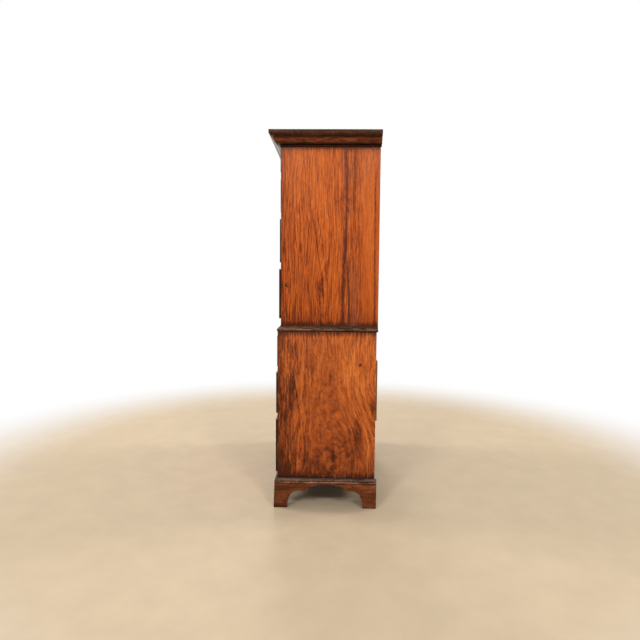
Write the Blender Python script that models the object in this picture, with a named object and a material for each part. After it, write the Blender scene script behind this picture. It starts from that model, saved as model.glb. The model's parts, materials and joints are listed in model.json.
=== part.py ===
# A two-part mahogany chest of drawers on bracket feet, a chest on chest, in metres with +Z up.
# The drawer fronts face -Y. The origin is on the floor, in the middle of the overall width and depth.

import math

import bmesh
import bpy
from mathutils import Matrix, Vector

for old_object in list(bpy.data.objects):
    bpy.data.objects.remove(old_object, do_unlink=True)

# Gaps: between pieces that touch, and how far a cut runs past the surface that it opens
clearance = 0.0003
overrun = 0.006

# The two cases, and how far the upper one stands back from the lower in front and at its sides and reaches
# past it behind
lower_width = 1.030
lower_depth = 0.476
lower_height = 0.7505
upper_height = 0.936
upper_setback = 0.0145
upper_side_setback = 0.0125
upper_rear_reach = 0.0065
foot_height = 0.118

# Drawer openings from the bottom up, as shares of the height left for them in each case
lower_opening_shares = (0.43042, 0.32686, 0.24272)
upper_opening_shares = (0.34088, 0.29420, 0.22348, 0.14144)

# Heights of what lies between the drawers, under them and over them
rail_height = 0.030
lower_plinth = 0.049
lower_top_thickness = 0.0235
upper_plinth = 0.058
frieze_height = 0.013

# Case boards
side_thickness = 0.020
housing_depth = 0.008
bottom_thickness = 0.020
top_board_thickness = 0.018
top_lap = 0.011
back_thickness = 0.0085
back_lap = 0.010
back_board_height = 0.240
back_seam = 0.0024
patch_drop = 0.1445
patch_height = 0.290
patch_thickness = 0.0067
patch_inset = 0.006

# Rails between the drawers, with the runners and dust boards behind them
rail_depth = 0.070
plinth_rail_depth = 0.024
runner_width = 0.046
centre_runner_width = 0.090
muntin_width = 0.030
guide_height = 0.016
dust_board_thickness = 0.007
stop_width = 0.034
stop_depth = 0.014
stop_height = 0.005
stop_inset = 0.090

# Cornice: a cap over a bed moulding that ends in a bead
cornice_height = 0.068
cornice_overhang = 0.0533
cornice_rear_overhang = 0.004
cap_height = 0.026
cap_fillet = 0.0155
cap_foot_projection = 0.0445
cap_foot_fillet = 0.0022
bed_projection = 0.033
bed_foot_projection = 0.0135
bead_radius = 0.0052
bead_fillet = 0.001
top_board_drop = 0.008

# Waist moulding, round the foot of the upper case
waist_height = 0.0265
waist_projection = 0.0175
waist_top_projection = 0.0012
waist_tip_height = 0.0080
waist_nose_height = 0.005
waist_foot_projection = 0.0150

# Base moulding, round the foot of the lower case
base_height = 0.028
base_projection = 0.0175
base_fascia_height = 0.0115
base_top_projection = 0.004
base_rear_overhang = 0.0085

# Bracket feet
bracket_thickness = 0.022
foot_width = 0.066
knee_reach = 0.042
wing_depth = 0.0335
wing_slant = 0.0015
tongue_depth = 0.011
tongue_length = 0.040
tongue_rise = 0.0045
tip_length = 0.014
tip_thickness = 0.0015
rear_bracket_width = 0.110
rear_bracket_thickness = 0.016
rear_bracket_inset = 0.012
block_size = 0.036
block_lift = 0.002

# How far each side bracket's wing reaches from its corner, as a share of the run from corner to corner
front_wing_share = 0.33267
rear_wing_share = 0.30876

# Drawers: running gaps, boards, the joints at their corners and the bead round each front
drawer_side_gap = 0.001
drawer_top_gap = 0.002
lower_drawer_rear_gap = 0.0275
upper_drawer_rear_gap = 0.0195
front_thickness = 0.022
drawer_side_thickness = 0.011
drawer_side_drop = 0.004
drawer_back_thickness = 0.011
drawer_back_drop = 0.006
panel_thickness = 0.007
panel_lift = 0.008
groove_depth = 0.005
tail_lap = 0.014
tail_pitch = 0.056
pin_width = 0.011
tail_flare = 0.0024
cock_bead_thickness = 0.003
cock_bead_projection = 0.003

# How far each drawer rests out of its closed place
lower_bottom_pulled = 0.0075
lower_middle_pulled = 0.0060
lower_top_pulled = 0.0010
upper_bottom_pulled = 0.0075
upper_third_pulled = 0.0040
upper_second_pulled = 0.0005
upper_short_pulled = 0.0010

# Brass: swan-neck bails on two posts each, keyhole plates and locks
bail_inset = 0.255
bail_half_span = 0.040
bail_reach = 0.012
bail_height_share = 0.55
bail_overhang = 0.0135
bail_drop = 0.038
bail_radius = 0.0021
bail_pin_radius = 0.0018
bail_grip_radius = 0.0029
bail_pin_length = 0.012
bail_pin_inset = 0.0035
post_radius = 0.0025
post_head_radius = 0.005
post_tip_radius = 0.0028
post_nut_radius = 0.0062
post_nut_thickness = 0.003
rosette_radius = 0.0115
rosette_thickness = 0.0026
rosette_rim_thickness = 0.0010
post_ball_share = 0.35
rosette_shoulder_radius = 0.0075
plate_width = 0.024
plate_height = 0.036
plate_thickness = 0.0012
keyhole_radius = 0.0032
keyhole_slot_width = 0.0030
keyhole_length = 0.0120
keyhole_drop = 0.022
keyhole_depth = 0.014
lock_width = 0.058
lock_height = 0.044
lock_thickness = 0.002

# Numbers of steps round the curves
knee_steps = 5
moulding_steps = 4
post_steps = 8
rosette_steps = 12
quarter_turn = math.pi / 2
full_turn = 2 * math.pi
sharp_angle = math.radians(35)

# Bail centre line from the pin to the middle of the grip, as shares of the bail's half width and its drop
bail_width_shares = (0.955, 1.0, 0.965, 0.84, 0.70, 0.40, 0.0)
bail_drop_shares = (0.04, 0.20, 0.47, 0.70, 0.885, 0.985, 1.0)

# Sizes and places that follow from the sizes above
upper_width = lower_width - 2 * upper_side_setback
upper_depth = lower_depth - upper_setback + upper_rear_reach
overall_depth = cornice_overhang + upper_depth + cornice_rear_overhang
upper_front = cornice_overhang - overall_depth / 2
upper_back = upper_front + upper_depth
lower_front = upper_front - upper_setback
lower_back = lower_front + lower_depth
lower_floor = foot_height + clearance
lower_first = foot_height + lower_plinth
lower_top = foot_height + lower_height
lower_last = lower_top - lower_top_thickness
upper_floor = lower_top + clearance
upper_first = upper_floor + upper_plinth
overall_height = upper_floor + upper_height
upper_top = overall_height - top_board_drop
cornice_floor = overall_height - cornice_height
upper_last = cornice_floor - frieze_height
foot_run = lower_depth + base_projection + base_rear_overhang
front_wing_length = foot_run * front_wing_share
rear_wing_length = foot_run * rear_wing_share
bail_width = bail_half_span + bail_overhang


# Materials: one Principled surface for each kind of piece
def surface(name, colour, roughness, metallic=0.0):
    made = bpy.data.materials.new(name)
    made.use_nodes = True
    shader = made.node_tree.nodes["Principled BSDF"]
    shader.inputs["Base Color"].default_value = (*colour, 1.0)
    shader.inputs["Roughness"].default_value = roughness
    shader.inputs["Metallic"].default_value = metallic
    made.diffuse_color = (*colour, 1.0)
    return made


figured_mahogany = surface("figured_mahogany", (0.36, 0.105, 0.025), 0.38)
straight_mahogany = surface("straight_mahogany", (0.40, 0.135, 0.035), 0.38)
dark_mahogany = surface("dark_mahogany", (0.075, 0.024, 0.012), 0.45)
foot_mahogany = surface("foot_mahogany", (0.15, 0.045, 0.02), 0.5)
oak = surface("oak", (0.36, 0.235, 0.125), 0.65)
pine = surface("pine", (0.29, 0.18, 0.09), 0.75)
brass = surface("brass", (0.55, 0.37, 0.14), 0.35, 1.0)


# Solids: every one is a loft through rings of points, closed by a cap at each end
def add_loft(mesh, rings):
    loops = [[mesh.verts.new(point) for point in ring] for ring in rings]
    count = len(loops[0])
    for low, high in zip(loops, loops[1:]):
        for index in range(count):
            following = (index + 1) % count
            mesh.faces.new((low[index], low[following], high[following], high[index]))
    mesh.faces.new(list(reversed(loops[0])))
    mesh.faces.new(loops[-1])


def rectangle(x_low, x_high, z_low, z_high, y):
    return [(x_low, y, z_low), (x_high, y, z_low), (x_high, y, z_high), (x_low, y, z_high)]


def add_block(mesh, x_span, y_span, z_span):
    add_loft(mesh, [rectangle(*x_span, *z_span, y) for y in y_span])


# An outline of (y, z) points carried along X, and one of (x, z) points carried along Y
def add_x_prism(mesh, outline, x_span):
    add_loft(mesh, [[(x, y, z) for y, z in outline] for x in x_span])


def add_y_prism(mesh, outline, y_span):
    add_loft(mesh, [[(x, y, z) for x, z in outline] for y in y_span])


# A profile of (radius, distance) points turned round the Y axis through a place
def add_turned(mesh, profile, steps, place):
    points = [mesh.verts.new((place[0] + radius, place[1] + along, place[2])) for radius, along in profile]
    edges = [mesh.edges.new(pair) for pair in zip(points, points[1:])]
    bmesh.ops.spin(
        mesh,
        geom=points + edges,
        cent=place,
        axis=(0, 1, 0),
        angle=full_turn,
        steps=steps,
        use_merge=True,
    )
    bmesh.ops.remove_doubles(mesh, verts=mesh.verts, dist=clearance / 100)


def tidy_normals(mesh):
    bmesh.ops.recalc_face_normals(mesh, faces=mesh.faces)


def new_node(name, mesh, material):
    tidy_normals(mesh)
    data = bpy.data.meshes.new(name)
    mesh.to_mesh(data)
    mesh.free()
    data.materials.append(material)
    data.shade_smooth()
    data.set_sharp_from_angle(angle=sharp_angle)
    node = bpy.data.objects.new(name, data)
    bpy.context.collection.objects.link(node)
    return node


# One mesh less another, or joined to it. Neither holds solids that overlap each other.
def combined(mesh, other, operation):
    base = new_node("base_helper", mesh, pine)
    tool = new_node("tool_helper", other, pine)
    tool.display_type = "WIRE"
    tool.hide_render = True
    change = base.modifiers.new("change", "BOOLEAN")
    change.operation = operation
    change.solver = "EXACT"
    change.object = tool
    graph = bpy.context.evaluated_depsgraph_get()
    result = bmesh.new()
    result.from_mesh(base.evaluated_get(graph).to_mesh())
    for helper in (base, tool):
        data = helper.data
        bpy.data.objects.remove(helper, do_unlink=True)
        bpy.data.meshes.remove(data)
    return result


def carved(mesh, cutter):
    return combined(mesh, cutter, "DIFFERENCE")


def fused(mesh, added):
    return combined(mesh, added, "UNION")


# The z spans of a case's drawer openings, from the bottom up, and of the rails between them
def opening_spans(first, last, shares):
    left_for_drawers = last - first - rail_height * (len(shares) - 1)
    spans = []
    low = first
    for share in shares:
        high = low + left_for_drawers * share
        spans.append((low, high))
        low = high + rail_height
    return spans


def rail_spans(spans):
    return [(low[1], high[0]) for low, high in zip(spans, spans[1:])]


lower_spans = opening_spans(lower_first, lower_last, lower_opening_shares)
upper_spans = opening_spans(upper_first, upper_last, upper_opening_shares)
top_rail_span = (upper_last, upper_last + rail_height)

lower_case = {
    "half": lower_width / 2,
    "front": lower_front,
    "back": lower_back,
    "floor": lower_floor,
    "top": lower_top,
    "first": lower_first,
    "rails": rail_spans(lower_spans),
    "top_thickness": lower_top_thickness,
    "drawer_length": lower_depth - back_thickness - lower_drawer_rear_gap,
}
upper_case = {
    "half": upper_width / 2,
    "front": upper_front,
    "back": upper_back,
    "floor": upper_floor,
    "top": upper_top,
    "first": upper_first,
    "rails": rail_spans(upper_spans) + [top_rail_span],
    "top_thickness": top_board_thickness,
    "drawer_length": upper_depth - back_thickness - upper_drawer_rear_gap,
}


# One side of a case: a board with a rebate for the back, a lap for the top and a housing for each rail
def case_side(name, case, hand, material):
    half = case["half"]
    inner = half - side_thickness
    x_span = (inner * hand, half * hand)
    y_span = (case["front"], case["back"])
    z_span = (case["floor"], case["top"])
    board = bmesh.new()
    add_block(board, x_span, y_span, z_span)

    rebate = bmesh.new()
    rebate_x = ((inner - overrun) * hand, (inner + back_lap) * hand)
    rebate_y = (case["back"] - back_thickness - clearance, case["back"] + overrun)
    rebate_z = (case["floor"] - overrun, case["top"] + overrun)
    add_block(rebate, rebate_x, rebate_y, rebate_z)
    board = carved(board, rebate)

    lap = bmesh.new()
    lap_x = ((inner - overrun) * hand, (inner + top_lap) * hand)
    lap_y = (case["front"] - overrun, case["back"] - back_thickness)
    lap_z = (case["top"] - case["top_thickness"] - clearance, case["top"] + overrun)
    add_block(lap, lap_x, lap_y, lap_z)
    board = carved(board, lap)

    housings = bmesh.new()
    housing_x = ((inner - overrun) * hand, (inner + housing_depth) * hand)
    housing_y = (case["front"] - overrun, case["back"] - back_thickness)
    bottom_span = (case["first"] - bottom_thickness, case["first"])
    for low, high in [bottom_span] + case["rails"]:
        add_block(housings, housing_x, housing_y, (low - clearance, high + clearance))
    return new_node(name, carved(board, housings), material)


# A case's bottom board, held in the housings, with the rail under its front edge
def case_bottom(name, case):
    inner = case["half"] - side_thickness
    reach = inner + housing_depth - clearance
    board = bmesh.new()
    y_span = (case["front"], case["back"] - back_thickness - clearance)
    board_floor = case["first"] - bottom_thickness
    add_block(board, (-reach, reach), y_span, (board_floor, case["first"]))
    rail = bmesh.new()
    rail_y = (case["front"], case["front"] + plinth_rail_depth)
    rail_z = (case["floor"], board_floor + bottom_thickness / 2)
    add_block(rail, (clearance - inner, inner - clearance), rail_y, rail_z)
    board = fused(board, rail)
    stops = bmesh.new()
    add_stops(stops, case, case["first"], columns_of(case, False))
    return new_node(name, fused(board, stops), pine)


def case_top(name, case):
    reach = case["half"] - side_thickness + top_lap - clearance
    board = bmesh.new()
    y_span = (case["front"], case["back"] - back_thickness - clearance)
    z_span = (case["top"] - case["top_thickness"], case["top"])
    add_block(board, (-reach, reach), y_span, z_span)
    return new_node(name, board, pine)


# Two small blocks a drawer, glued on the rail, stop its front flush with the case
def add_stops(mesh, case, floor, columns):
    stop_y = case["front"] + front_thickness + clearance
    for left, right in columns:
        for centre in (left + stop_inset, right - stop_inset):
            x_span = (centre - stop_width / 2, centre + stop_width / 2)
            z_span = (floor - stop_height, floor + stop_height)
            add_block(mesh, x_span, (stop_y, stop_y + stop_depth), z_span)


# One level between drawers: the front rail, a runner at each side and the dust board between them.
# Under two short drawers it has a centre runner with its guide, and the muntin that parts them.
def divider(name, case, z_span, short_drawers):
    inner = case["half"] - side_thickness
    reach = inner + housing_depth - clearance
    front = case["front"]
    rail_back = front + rail_depth
    rail = bmesh.new()
    add_block(rail, (-reach, reach), (front, rail_back), z_span)

    low, high = z_span
    dust_low = (low + high - dust_board_thickness) / 2
    dust_high = (low + high + dust_board_thickness) / 2
    edge = inner - runner_width
    half = centre_runner_width / 2
    guide = muntin_width / 2
    outline = [(-reach, low), (-edge, low), (-edge, dust_low)]
    if short_drawers:
        outline += [(-half, dust_low), (-half, low), (half, low), (half, dust_low)]
    outline += [(edge, dust_low), (edge, low), (reach, low), (reach, high), (edge, high), (edge, dust_high)]
    if short_drawers:
        outline += [(half, dust_high), (half, high), (guide, high), (guide, high + guide_height)]
        outline += [(-guide, high + guide_height), (-guide, high), (-half, high), (-half, dust_high)]
    outline += [(-edge, dust_high), (-edge, high), (-reach, high)]
    frame = bmesh.new()
    add_y_prism(frame, outline, (rail_back - overrun, case["back"] - back_thickness - clearance))
    level = fused(rail, frame)

    on_rail = bmesh.new()
    add_stops(on_rail, case, high, columns_of(case, short_drawers))
    level = fused(level, on_rail)
    if short_drawers:
        muntin = bmesh.new()
        muntin_z = (low + rail_height / 2, upper_last - clearance)
        add_block(muntin, (-guide, guide), (front, rail_back), muntin_z)
        level = fused(level, muntin)
    return new_node(name, level, oak)


# The rail over the short drawers, with the kickers that keep a drawn drawer level
def top_rail(name, case, z_span):
    inner = case["half"] - side_thickness
    reach = inner + housing_depth - clearance
    rail = bmesh.new()
    rail_back = case["front"] + rail_depth
    add_block(rail, (-reach, reach), (case["front"], rail_back), z_span)
    kickers = bmesh.new()
    kicker_y = (rail_back - overrun, case["back"] - back_thickness - clearance)
    for hand in (-1, 1):
        add_block(kickers, ((inner - runner_width) * hand, reach * hand), kicker_y, z_span)
    return new_node(name, fused(rail, kickers), oak)


# Where the drawers stand side by side: one column for a long drawer, two for the short ones
def columns_of(case, short_drawers):
    inner = case["half"] - side_thickness
    if short_drawers:
        return [(-inner, -muntin_width / 2), (muntin_width / 2, inner)]
    return [(-inner, inner)]


# The backs: boards that lie across the case in its rebates, with a V-shaped seam wherever two of them meet
def case_back(name, case):
    reach = case["half"] - side_thickness + back_lap - clearance
    inner_y = case["back"] - back_thickness
    height = case["top"] - case["floor"]
    count = round(height / back_board_height)
    seams = [case["floor"] + height * index / count for index in range(1, count)]
    outline = [(inner_y, case["floor"])]
    for seam in seams:
        outline += [(inner_y, seam - back_seam / 2), (inner_y + back_seam / 2, seam)]
        outline += [(inner_y, seam + back_seam / 2)]
    outline += [(inner_y, case["top"]), (case["back"], case["top"])]
    for seam in reversed(seams):
        outline += [(case["back"], seam + back_seam / 2), (case["back"] - back_seam / 2, seam)]
        outline += [(case["back"], seam - back_seam / 2)]
    outline += [(case["back"], case["floor"])]
    board = bmesh.new()
    add_x_prism(board, outline, (-reach, reach))
    return new_node(name, board, pine)


# The board nailed over a crack in the lower case's back
def back_patch():
    board = bmesh.new()
    reach = lower_case["half"] - patch_inset
    y_span = (lower_back + clearance, lower_back + clearance + patch_thickness)
    patch_top = lower_top - patch_drop
    add_block(board, (-reach, reach), y_span, (patch_top - patch_height, patch_top))
    return new_node("lower_back_patch", board, pine)


# A moulding round the front and both sides of a case, mitred at the front corners, as three pieces.
# Its profile is a ring of (projection, height) points, measured from the case's face.
def moulding(name, profile, half, front, back, material):
    def front_ring(hand):
        return [((half + out - clearance) * hand, front - out, z) for out, z in profile]

    def side_ring(hand, at_back):
        ends = [back if at_back else front - out + clearance for out, z in profile]
        return [((half + out) * hand, end, z) for end, (out, z) in zip(ends, profile)]

    piece = bmesh.new()
    add_loft(piece, [front_ring(-1), front_ring(1)])
    new_node(name + "_front", piece, material)
    for hand_name, hand in (("left", -1), ("right", 1)):
        piece = bmesh.new()
        add_loft(piece, [side_ring(hand, False), side_ring(hand, True)])
        new_node(name + "_" + hand_name, piece, material)


# A quarter ellipse of (projection, height) points that leaves its start along the height
def quarter_curve(start, end, steps):
    points = []
    for step in range(steps + 1):
        angle = quarter_turn * step / steps
        out = start[0] + (end[0] - start[0]) * (1 - math.cos(angle))
        height = start[1] + (end[1] - start[1]) * math.sin(angle)
        points.append((out, height))
    return points


# An S-shaped curve that leaves its start and meets its end along the projection
def ogee_curve(start, end, steps):
    points = []
    for step in range(steps + 1):
        share = step / steps
        out = start[0] + (end[0] - start[0]) * share
        height = start[1] + (end[1] - start[1]) * (1 - math.cos(math.pi * share)) / 2
        points.append((out, height))
    return points


def half_round(out, low, radius, steps):
    points = []
    for step in range(steps + 1):
        angle = math.pi * step / steps
        points.append((out + radius * math.sin(angle), low + radius - radius * math.cos(angle)))
    return points


def cornice():
    cap_floor = overall_height - cap_height
    cap_edge = overall_height - cap_fillet
    cap_foot = cap_floor + cap_foot_fillet
    bed_foot = cornice_floor + 2 * bead_radius
    profile = [(clearance, cornice_floor)]
    profile += half_round(bead_fillet, cornice_floor, bead_radius, moulding_steps)
    bed = quarter_curve((bed_projection, cap_floor), (bed_foot_projection, bed_foot), moulding_steps)
    profile += list(reversed(bed))
    profile += [(cap_foot_projection, cap_floor)]
    profile += ogee_curve((cap_foot_projection, cap_foot), (cornice_overhang, cap_edge), moulding_steps)
    profile += [(cornice_overhang, overall_height), (clearance, overall_height)]
    rear = upper_back + cornice_rear_overhang
    moulding("cornice", profile, upper_case["half"], upper_front, rear, dark_mahogany)


def waist_moulding():
    floor = lower_top + clearance
    tip = floor + waist_tip_height
    top = floor + waist_height
    profile = [(clearance, floor), (waist_foot_projection, floor)]
    profile += [(waist_projection, tip - waist_nose_height)]
    slope = ogee_curve((tip, waist_projection), (top, waist_top_projection), moulding_steps)
    profile += [(out, height) for height, out in slope]
    profile += [(clearance, top)]
    moulding("waist_moulding", profile, upper_case["half"], upper_front, upper_back, dark_mahogany)


def base_moulding():
    fascia = foot_height + base_fascia_height
    top = foot_height + base_height
    profile = [(clearance, foot_height), (base_projection, foot_height)]
    profile += quarter_curve((base_projection, fascia), (base_top_projection, top), moulding_steps)
    profile += [(clearance, top)]
    rear = lower_back + base_rear_overhang
    moulding("base_moulding", profile, lower_case["half"], lower_front, rear, foot_mahogany)


# A bracket's outline of (distance from the corner, height) points: the foot, its knee and the stepped wing
def bracket_outline(wing):
    top = foot_height - clearance
    wing_height = foot_height - wing_depth
    tongue_height = foot_height - tongue_depth
    outline = [(0, 0)]
    outline += quarter_curve((foot_width, 0), (foot_width + knee_reach, wing_height), knee_steps)
    outline += [(wing, wing_height), (wing + wing_slant, tongue_height)]
    outline += [(wing + tongue_length, tongue_height + tongue_rise)]
    outline += [(wing + tongue_length + tip_length, top - tip_thickness)]
    outline += [(wing + tongue_length + tip_length, top), (0, top)]
    return outline


# A foot at a corner of the base moulding: two brackets and the square block glued behind them.
# hand is the foot's side. end is -1 in front and 1 at the rear, where a plain brace is the second bracket.
def bracket_foot(name, hand, end):
    corner_x = lower_case["half"] + base_projection
    inner_x = corner_x - bracket_thickness
    lap = bracket_thickness / 2
    top = foot_height - clearance
    side = bmesh.new()
    second = bmesh.new()
    block = bmesh.new()
    if end < 0:
        corner_y = lower_front - base_projection
        outline = bracket_outline(front_wing_length)
        along_side = [(corner_y + max(along, lap), z) for along, z in outline]
        add_x_prism(side, along_side, (inner_x * hand, corner_x * hand))
        across = [((corner_x - along) * hand, z) for along, z in outline]
        add_y_prism(second, across, (corner_y, corner_y + bracket_thickness))
        block_y = corner_y + bracket_thickness - lap
    else:
        corner_y = lower_back + base_rear_overhang
        along_side = [(corner_y - along, z) for along, z in bracket_outline(rear_wing_length)]
        add_x_prism(side, along_side, (inner_x * hand, corner_x * hand))
        start = inner_x + lap
        slant = inner_x - rear_bracket_width
        brace = [(start * hand, 0), (start * hand, top), (slant * hand, top)]
        brace += [(slant * hand, foot_height - tongue_depth), ((inner_x - foot_width) * hand, 0)]
        brace_y = lower_back - rear_bracket_inset
        add_y_prism(second, brace, (brace_y - rear_bracket_thickness, brace_y))
        block_y = brace_y - rear_bracket_thickness - block_size + lap
    block_x = ((inner_x - block_size) * hand, (inner_x + lap) * hand)
    add_block(block, block_x, (block_y, block_y + block_size), (block_lift, top))
    return new_node(name, fused(fused(side, second), block), foot_mahogany)


# The roots of the dovetails along one end of a drawer side, with half a pin above and below them
def tail_roots(low, high):
    count = max(2, round((high - low) / tail_pitch))
    pitch = (high - low) / count
    starts = [low + pitch * index for index in range(count)]
    return [(start + pin_width / 2, start + pitch - pin_width / 2) for start in starts]


def tail_sockets(mesh, roots, root_y, tip_y, x_span):
    beyond = root_y + math.copysign(overrun, root_y - tip_y)
    past_tip = tip_y - math.copysign(clearance, root_y - tip_y)
    for low, high in roots:
        outline = [
            (past_tip, low - tail_flare - clearance),
            (root_y, low - clearance),
            (beyond, low - clearance),
            (beyond, high + clearance),
            (root_y, high + clearance),
            (past_tip, high + tail_flare + clearance),
        ]
        add_x_prism(mesh, outline, x_span)


# The sizes and places of one drawer, which rests pulled a little way out of its opening
def drawer_plan(name, case, z_span, x_span, pulled, bail_centres):
    face = case["front"] - pulled
    left = x_span[0] + drawer_side_gap
    right = x_span[1] - drawer_side_gap
    low = z_span[0] + clearance
    high = z_span[1] - drawer_top_gap
    front_back = face + front_thickness
    rear = face + case["drawer_length"]
    return {
        "name": name,
        "pulled": pulled,
        "left": left,
        "right": right,
        "low": low,
        "high": high,
        "face": face,
        "front_back": front_back,
        "rear": rear,
        "side_high": high - drawer_side_drop,
        "panel_low": low + panel_lift,
        "panel_high": low + panel_lift + panel_thickness,
        "bail_centres": bail_centres,
        "bail_axis": (face - bail_reach, low + (high - low) * bail_height_share),
        "keyhole": ((left + right) / 2, high - keyhole_drop),
    }


def keyhole_outline(centre):
    half = keyhole_slot_width / 2
    start = math.asin(half / keyhole_radius)
    outline = []
    for step in range(post_steps + 1):
        angle = start + (full_turn - 2 * start) * step / post_steps
        x = centre[0] + keyhole_radius * math.sin(angle)
        outline.append((x, centre[1] - keyhole_radius * math.cos(angle)))
    foot = centre[1] - keyhole_length
    outline += [(centre[0] - half, foot), (centre[0] + half, foot)]
    return outline


# A post turned in one with its rosette: it starts inside the front and its ball head has a cross hole
# for the bail's pin
def post_mesh():
    neck = math.sqrt(post_head_radius**2 - post_radius**2)
    tip = math.sqrt(post_head_radius**2 - post_tip_radius**2)
    ball_out = post_head_radius * post_ball_share
    ball_radius = math.sqrt(post_head_radius**2 - ball_out**2)
    profile = [
        (0, -bail_reach - tip),
        (post_tip_radius, -bail_reach - tip),
        (ball_radius, -bail_reach - ball_out),
        (ball_radius, -bail_reach + ball_out),
        (post_radius, -bail_reach + neck),
        (post_radius, -rosette_thickness),
        (rosette_shoulder_radius, -rosette_thickness),
        (rosette_radius, -rosette_rim_thickness),
        (rosette_radius, rosette_thickness),
        (0, rosette_thickness),
    ]
    post = bmesh.new()
    add_turned(post, profile, post_steps, (0, 0, 0))
    hole = bmesh.new()
    radius = bail_pin_radius + clearance
    outline = []
    for step in range(post_steps):
        angle = full_turn * (step + 1 / 2) / post_steps
        outline.append((radius * math.cos(angle) - bail_reach, radius * math.sin(angle)))
    add_x_prism(hole, outline, (-post_head_radius - overrun, post_head_radius + overrun))
    return carved(post, hole)


def nut_mesh():
    nut = bmesh.new()
    inner = front_thickness - post_nut_thickness
    outer = front_thickness + post_nut_thickness
    profile = [(0, inner), (post_nut_radius, inner), (post_nut_radius, outer), (0, outer)]
    add_turned(nut, profile, post_steps, (0, 0, 0))
    return nut


# One mesh that holds a copy of another at each place
def copies(mesh, places):
    held = bpy.data.meshes.new("held")
    tidy_normals(mesh)
    mesh.to_mesh(held)
    mesh.free()
    many = bmesh.new()
    for place in places:
        before = len(many.verts)
        many.from_mesh(held)
        many.verts.ensure_lookup_table()
        bmesh.ops.translate(many, verts=many.verts[before:], vec=place)
    bpy.data.meshes.remove(held)
    return many


# The front's board: a loft of rectangles from its back, over the rounded bead round its edge, to its face
def front_board(plan):
    radius = cock_bead_thickness / 2
    nose = plan["face"] - cock_bead_projection + radius
    sections = [(0, plan["front_back"]), (0, nose)]
    for step in range(1, moulding_steps + 1):
        angle = math.pi * step / moulding_steps
        sections.append((radius - radius * math.cos(angle), nose - radius * math.sin(angle)))
    sections.append((cock_bead_thickness, plan["face"]))
    rings = []
    for inset, y in sections:
        x_span = (plan["left"] + inset, plan["right"] - inset)
        rings.append(rectangle(*x_span, plan["low"] + inset, plan["high"] - inset, y))
    board = bmesh.new()
    add_loft(board, rings)
    return board


# The front: its board with lapped dovetail sockets at the ends, a groove for the bottom and a keyhole,
# and on it the two posts of each bail with their nuts, the keyhole plate and the lock's plate
def drawer_front(plan):
    left, right, low, high = plan["left"], plan["right"], plan["low"], plan["high"]
    face, back = plan["face"], plan["front_back"]
    board = front_board(plan)

    sockets = bmesh.new()
    roots = tail_roots(low, plan["side_high"])
    socket = drawer_side_thickness + clearance
    tail_sockets(sockets, roots, back, back - tail_lap, (left - overrun, left + socket))
    tail_sockets(sockets, roots, back, back - tail_lap, (right - socket, right + overrun))
    board = carved(board, sockets)

    groove = bmesh.new()
    groove_x = (left + drawer_side_thickness - groove_depth, right - drawer_side_thickness + groove_depth)
    groove_z = (plan["panel_low"] - clearance, plan["panel_high"] + clearance)
    add_block(groove, groove_x, (back - groove_depth - clearance, back + overrun), groove_z)
    board = carved(board, groove)

    places = []
    for centre in plan["bail_centres"]:
        for side in (-bail_half_span, bail_half_span):
            places.append(Vector((centre + side, face, plan["bail_axis"][1])))
    board = fused(board, copies(post_mesh(), places))
    board = fused(board, copies(nut_mesh(), places))

    plates = bmesh.new()
    middle = (plan["keyhole"][0], plan["keyhole"][1] - keyhole_length / 2)
    outline = []
    for step in range(rosette_steps):
        angle = full_turn * step / rosette_steps
        x = middle[0] + plate_width / 2 * math.cos(angle)
        outline.append((x, middle[1] + plate_height / 2 * math.sin(angle)))
    add_y_prism(plates, outline, (face - plate_thickness, face + plate_thickness))
    lock_x = (middle[0] - lock_width / 2, middle[0] + lock_width / 2)
    lock_z = (plan["side_high"] - lock_height, plan["side_high"])
    add_block(plates, lock_x, (back - lock_thickness, back + lock_thickness), lock_z)
    board = fused(board, plates)

    keyhole = bmesh.new()
    add_y_prism(keyhole, keyhole_outline(plan["keyhole"]), (face - overrun, face + keyhole_depth))
    return carved(board, keyhole)


# The box behind the front: two sides with lapped dovetails, the bottom and the back
def drawer_box(plan):
    left, right, low, high = plan["left"], plan["right"], plan["low"], plan["side_high"]
    front_back, rear = plan["front_back"], plan["rear"]
    root = front_back + clearance
    tip = front_back - tail_lap
    outline = [(rear, low), (rear, high), (root, high)]
    for start, end in reversed(tail_roots(low, high)):
        outline += [(root, end), (tip, end + tail_flare), (tip, start - tail_flare), (root, start)]
    outline += [(root, low)]
    sides = bmesh.new()
    add_x_prism(sides, outline, (left, left + drawer_side_thickness))
    add_x_prism(sides, outline, (right - drawer_side_thickness, right))

    inner_left = left + drawer_side_thickness - groove_depth
    inner_right = right - drawer_side_thickness + groove_depth
    panel = bmesh.new()
    panel_y = (front_back - groove_depth, rear - drawer_back_thickness / 2)
    add_block(panel, (inner_left, inner_right), panel_y, (plan["panel_low"], plan["panel_high"]))
    back = bmesh.new()
    back_z = (plan["panel_low"], high - drawer_back_drop)
    add_block(back, (inner_left, inner_right), (rear - drawer_back_thickness, rear - clearance), back_z)
    return fused(fused(sides, panel), back)


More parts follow.
